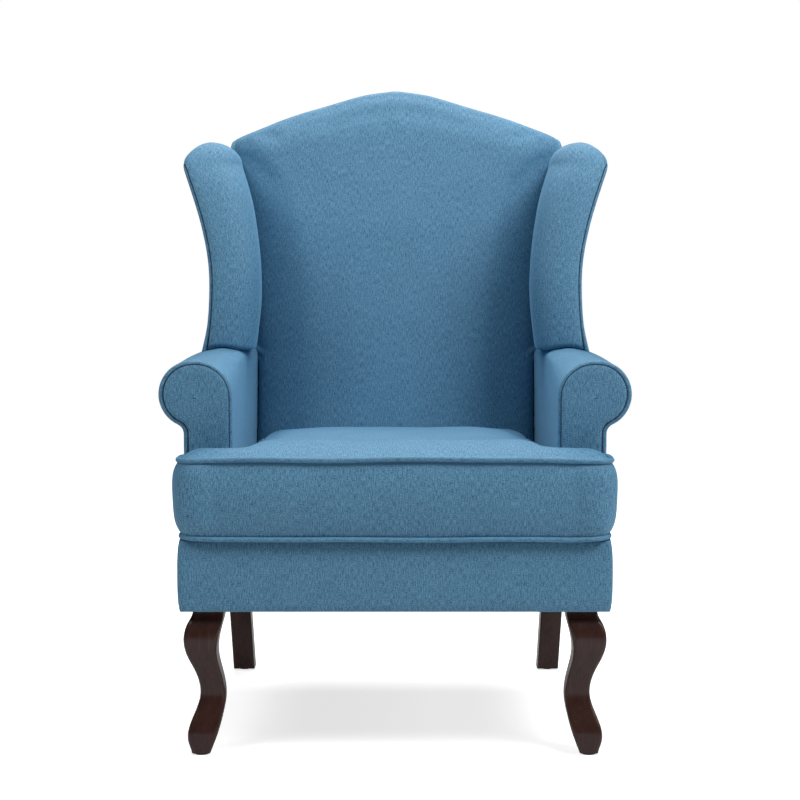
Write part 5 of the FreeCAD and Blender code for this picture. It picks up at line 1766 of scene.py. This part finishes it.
def grain_group():
    """Colour and height of wood from a place that is already stretched along the grain."""
    inputs = {"Vector": "Vector", "Dark": "Color", "Light": "Color"}
    tree, start, end = new_group("long grain", inputs, {"Colour": "Color", "Height": "Float"})
    fine = free_noise(tree, start.outputs["Vector"], 1, 4)
    broad = free_noise(tree, start.outputs["Vector"], 0.2, 2)
    fine_share = math_node(tree, "MULTIPLY", fine, 0.6)
    broad_share = math_node(tree, "MULTIPLY", broad, 0.4)
    total = math_node(tree, "ADD", fine_share, broad_share)
    spread = math_node(tree, "MULTIPLY_ADD", total, 2.2, clamp=True)
    spread.node.inputs[2].default_value = -0.6
    colour = colour_mix(tree, spread, start.outputs["Dark"], start.outputs["Light"])
    link(tree, colour, end.inputs["Colour"])
    link(tree, fine, end.inputs["Height"])
    return tree


grain = grain_group()
print("grain nodes", len(grain.nodes))

# %% Wood
GRAIN_LONG = 60 * MM
GRAIN_WIDE = 3 * MM
WOOD_BUMP = (0.08, 0.2 * MM)  # strength, distance


def wood_material(name, axis, dark, light, rough, coat):
    """Wood whose grain runs along one axis of the chair."""
    material, tree, shader = new_material(name)
    place = tree.nodes.new("ShaderNodeTexCoord")
    stretch = tree.nodes.new("ShaderNodeMapping")
    scale = [1 / GRAIN_WIDE] * 3
    scale["XYZ".index(axis)] = 1 / GRAIN_LONG
    stretch.inputs["Scale"].default_value = scale
    link(tree, place.outputs["Object"], stretch.inputs["Vector"])
    patterned(tree, shader, grain, stretch.outputs["Vector"], dark, light, WOOD_BUMP)
    set_shader(shader, {
        "Roughness": rough,
        "Specular IOR Level": 0.3,
        "Coat Weight": coat,
        "Coat Roughness": 0.12,
    })
    return material


LACQUER = ((38, 18, 14), (68, 39, 32), 0.4, 0.25)  # dark, light, roughness, coat
BEECH = ((176, 134, 92), (214, 176, 132), 0.6, 0)
lacquer = wood_material("espresso_lacquer", "Z", *LACQUER)
beech = {axis: wood_material("beech_" + axis.lower(), axis, *BEECH) for axis in "XYZ"}
print("woods", lacquer.name, [material.name for material in beech.values()])

# %% [markdown]
# ## Plain finishes
# Metal, webbing, board and plastic are of one colour, but a surface without any change looks drawn.
# Each therefore varies a little from place to place, in spots of the size that suits it.

# %% Plain finishes


def plain_material(name, colour, rough, metal, speck, size):
    """A plain finish whose colour varies a little from place to place."""
    material, tree, shader = new_material(name)
    place = tree.nodes.new("ShaderNodeTexCoord")
    spots = free_noise(tree, place.outputs["Object"], 1 / size, 2)
    dark = linear(*[c * (1 - speck) for c in colour])
    light = linear(*[min(255, c * (1 + speck)) for c in colour])
    link(tree, colour_mix(tree, spots, dark, light), shader.inputs["Base Color"])
    set_shader(shader, {"Roughness": rough, "Metallic": metal})
    return material


finishes = {  # colour, roughness, metal, strength of the spots, their size
    "liner_board": plain_material("fibre_board", (165, 140, 108), 0.8, 0, 0.12, 4 * MM),
    "spring_steel": plain_material("spring_wire", (62, 62, 66), 0.42, 1, 0.15, 5 * MM),
    "clip_steel": plain_material("clip_zinc", (176, 178, 180), 0.35, 1, 0.06, 3 * MM),
    "screw_steel": plain_material("screw_zinc", (190, 184, 168), 0.3, 1, 0.06, 2 * MM),
    "bolt_steel": plain_material("bolt_zinc", (182, 184, 188), 0.32, 1, 0.06, 3 * MM),
    "webbing": plain_material("elastic_webbing", (58, 58, 62), 0.85, 0, 0.3, 1.5 * MM),
    "glide_plastic": plain_material("glide_plastic", (30, 27, 26), 0.45, 0, 0.1, 3 * MM),
    "zip_metal": plain_material("nickel", (196, 194, 188), 0.25, 1, 0.04, 2 * MM),
    "dust_cloth": plain_material("black_nonwoven", (30, 30, 32), 0.95, 0, 0.35, 1 * MM),
}
platform_cloth = cloth_material("platform_cloth", (40, 56, 72), (66, 86, 104), 0.8, 0.95, 0.05)
tape_cloth = cloth_material("zip_tape_cloth", (38, 66, 90), (62, 94, 120), 0.8, 0.9, 0.05)
coil_plastic = plain_material("zip_coil_plastic", (52, 84, 110), 0.4, 0, 0.08, 2 * MM)
print("plain finishes", len(finishes) + 1)

# %% [markdown]
# ## Putting the finishes on
# The record names a finish for every piece of the construction, so the pieces are dressed by name
# from it. Frame wood takes the beech whose grain runs along the piece's longest side.

# %% Put the finishes on


def dress(piece, *materials):
    """Gives a piece new finishes."""
    piece.data.materials.clear()
    for material in materials:
        piece.data.materials.append(material)


record_slots = {part["node"]: part["material_slot"] for part in frame["record"]["subparts"]}
for name, node in nodes.items():
    slot_name = record_slots[name]
    if slot_name == "leg_wood":
        dress(node, lacquer)
    elif slot_name == "frame_wood":
        low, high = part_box(name)
        size = list(high - low)
        dress(node, beech["XYZ"[size.index(max(size))]])
    elif slot_name in finishes:
        dress(node, finishes[slot_name])
    else:
        dress(node, blue_cloth)
dress(deck, platform_cloth, blue_cloth)
for polygon in deck.data.polygons:
    polygon.material_index = 1 if polygon.center.y < seam_y else 0
dress(dust_cover, finishes["dust_cloth"])
dress(zip_tape, tape_cloth)
dress(zip_coils, coil_plastic)
print("dressed", len(nodes), "nodes")

# %% [markdown]
# ## Floor and light
# The photograph is a studio picture on white. The right side of each arm is lighter, so the key light
# hangs high on the right; a fill on the left is weaker. The tops have a pale shine that only a light
# above and behind can give. The floor is white paper that keeps the chair's soft shadow. A single big
# light would be simpler, but it leaves the tops as dull as the front.

# %% Floor
FLOOR_SIZE = 12
PAPER = (0.85, 0.85, 0.85, 1)
WHITE = (1, 1, 1, 1)
GLOW = {"From Min": 0.4, "From Max": 1.8, "To Min": 0.72, "To Max": 1.0}  # white again away from the chair
scene = bpy.context.scene
scene.view_settings.view_transform = "Standard"
bpy.ops.object.select_all(action="DESELECT")
bpy.ops.mesh.primitive_plane_add(size=FLOOR_SIZE, location=(0, 0, 0))
floor = bpy.context.active_object
floor.name = "floor"
floor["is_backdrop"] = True
paper, tree, shader = new_material("white_paper")
set_shader(shader, {"Base Color": PAPER, "Roughness": 0.9})
seen = tree.nodes.new("ShaderNodeLightPath").outputs["Is Camera Ray"]
glow = tree.nodes.new("ShaderNodeEmission")
glow.inputs["Color"].default_value = WHITE
place = tree.nodes.new("ShaderNodeTexCoord")
reach = tree.nodes.new("ShaderNodeVectorMath")
reach.operation = "LENGTH"
link(tree, place.outputs["Object"], reach.inputs[0])
far = tree.nodes.new("ShaderNodeMapRange")
far.interpolation_type = "SMOOTHSTEP"
for socket, value in GLOW.items():
    far.inputs[socket].default_value = value
link(tree, reach.outputs["Value"], far.inputs["Value"])
link(tree, math_node(tree, "MULTIPLY", seen, far.outputs["Result"]), glow.inputs["Strength"])
both = tree.nodes.new("ShaderNodeAddShader")
link(tree, shader.outputs[0], both.inputs[0])
link(tree, glow.outputs[0], both.inputs[1])
link(tree, both.outputs[0], tree.nodes["Material Output"].inputs["Surface"])
floor.data.materials.append(paper)
print("floor", FLOOR_SIZE, "m wide")

# %% [markdown]
# ## White surroundings and lamps
# The camera sees white all round, but that white hardly lights the chair, so the lamps alone shape it.
# A lit white room would be the same thing in reality, and would flatten the folds and the welts.

# %% Surroundings and lamps
AMBIENT = 0.02
AIM = (0, 0, 0.6)
world = bpy.data.worlds.new("studio")
scene.world = world
world.use_nodes = True
tree = world.node_tree
background = tree.nodes["Background"]
background.inputs["Color"].default_value = WHITE
seen = tree.nodes.new("ShaderNodeLightPath").outputs["Is Camera Ray"]
shown = math_node(tree, "MULTIPLY", seen, 1 - AMBIENT)
link(tree, math_node(tree, "ADD", shown, AMBIENT), background.inputs["Strength"])


def softbox(name, place, size, power):
    """A square studio light pointed at the chair."""
    data = bpy.data.lights.new(name, "AREA")
    data.size = size
    data.energy = power
    lamp = bpy.data.objects.new(name, data)
    scene.collection.objects.link(lamp)
    lamp.location = place
    lamp.rotation_euler = (Vector(AIM) - Vector(place)).to_track_quat("-Z", "Y").to_euler()
    print("lamp", name, power, "W")


softbox("key", (1.6, -1.4, 3.0), size=1.4, power=68)
softbox("fill", (-1.6, -1.4, 3.0), size=1.4, power=42)
softbox("side", (3.2, -0.4, 1.8), size=1.4, power=21)
softbox("rim", (0, 1.0, 2.9), size=1.6, power=52)

# %% [markdown]
# ## The size, and the end
# The box round the dressed chair is printed; it should lie inside the construction's box, apart from a little
# fullness.

# %% Size and finish
low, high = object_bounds()
print("visual box", [round(c, 4) for c in low], [round(c, 4) for c in high])
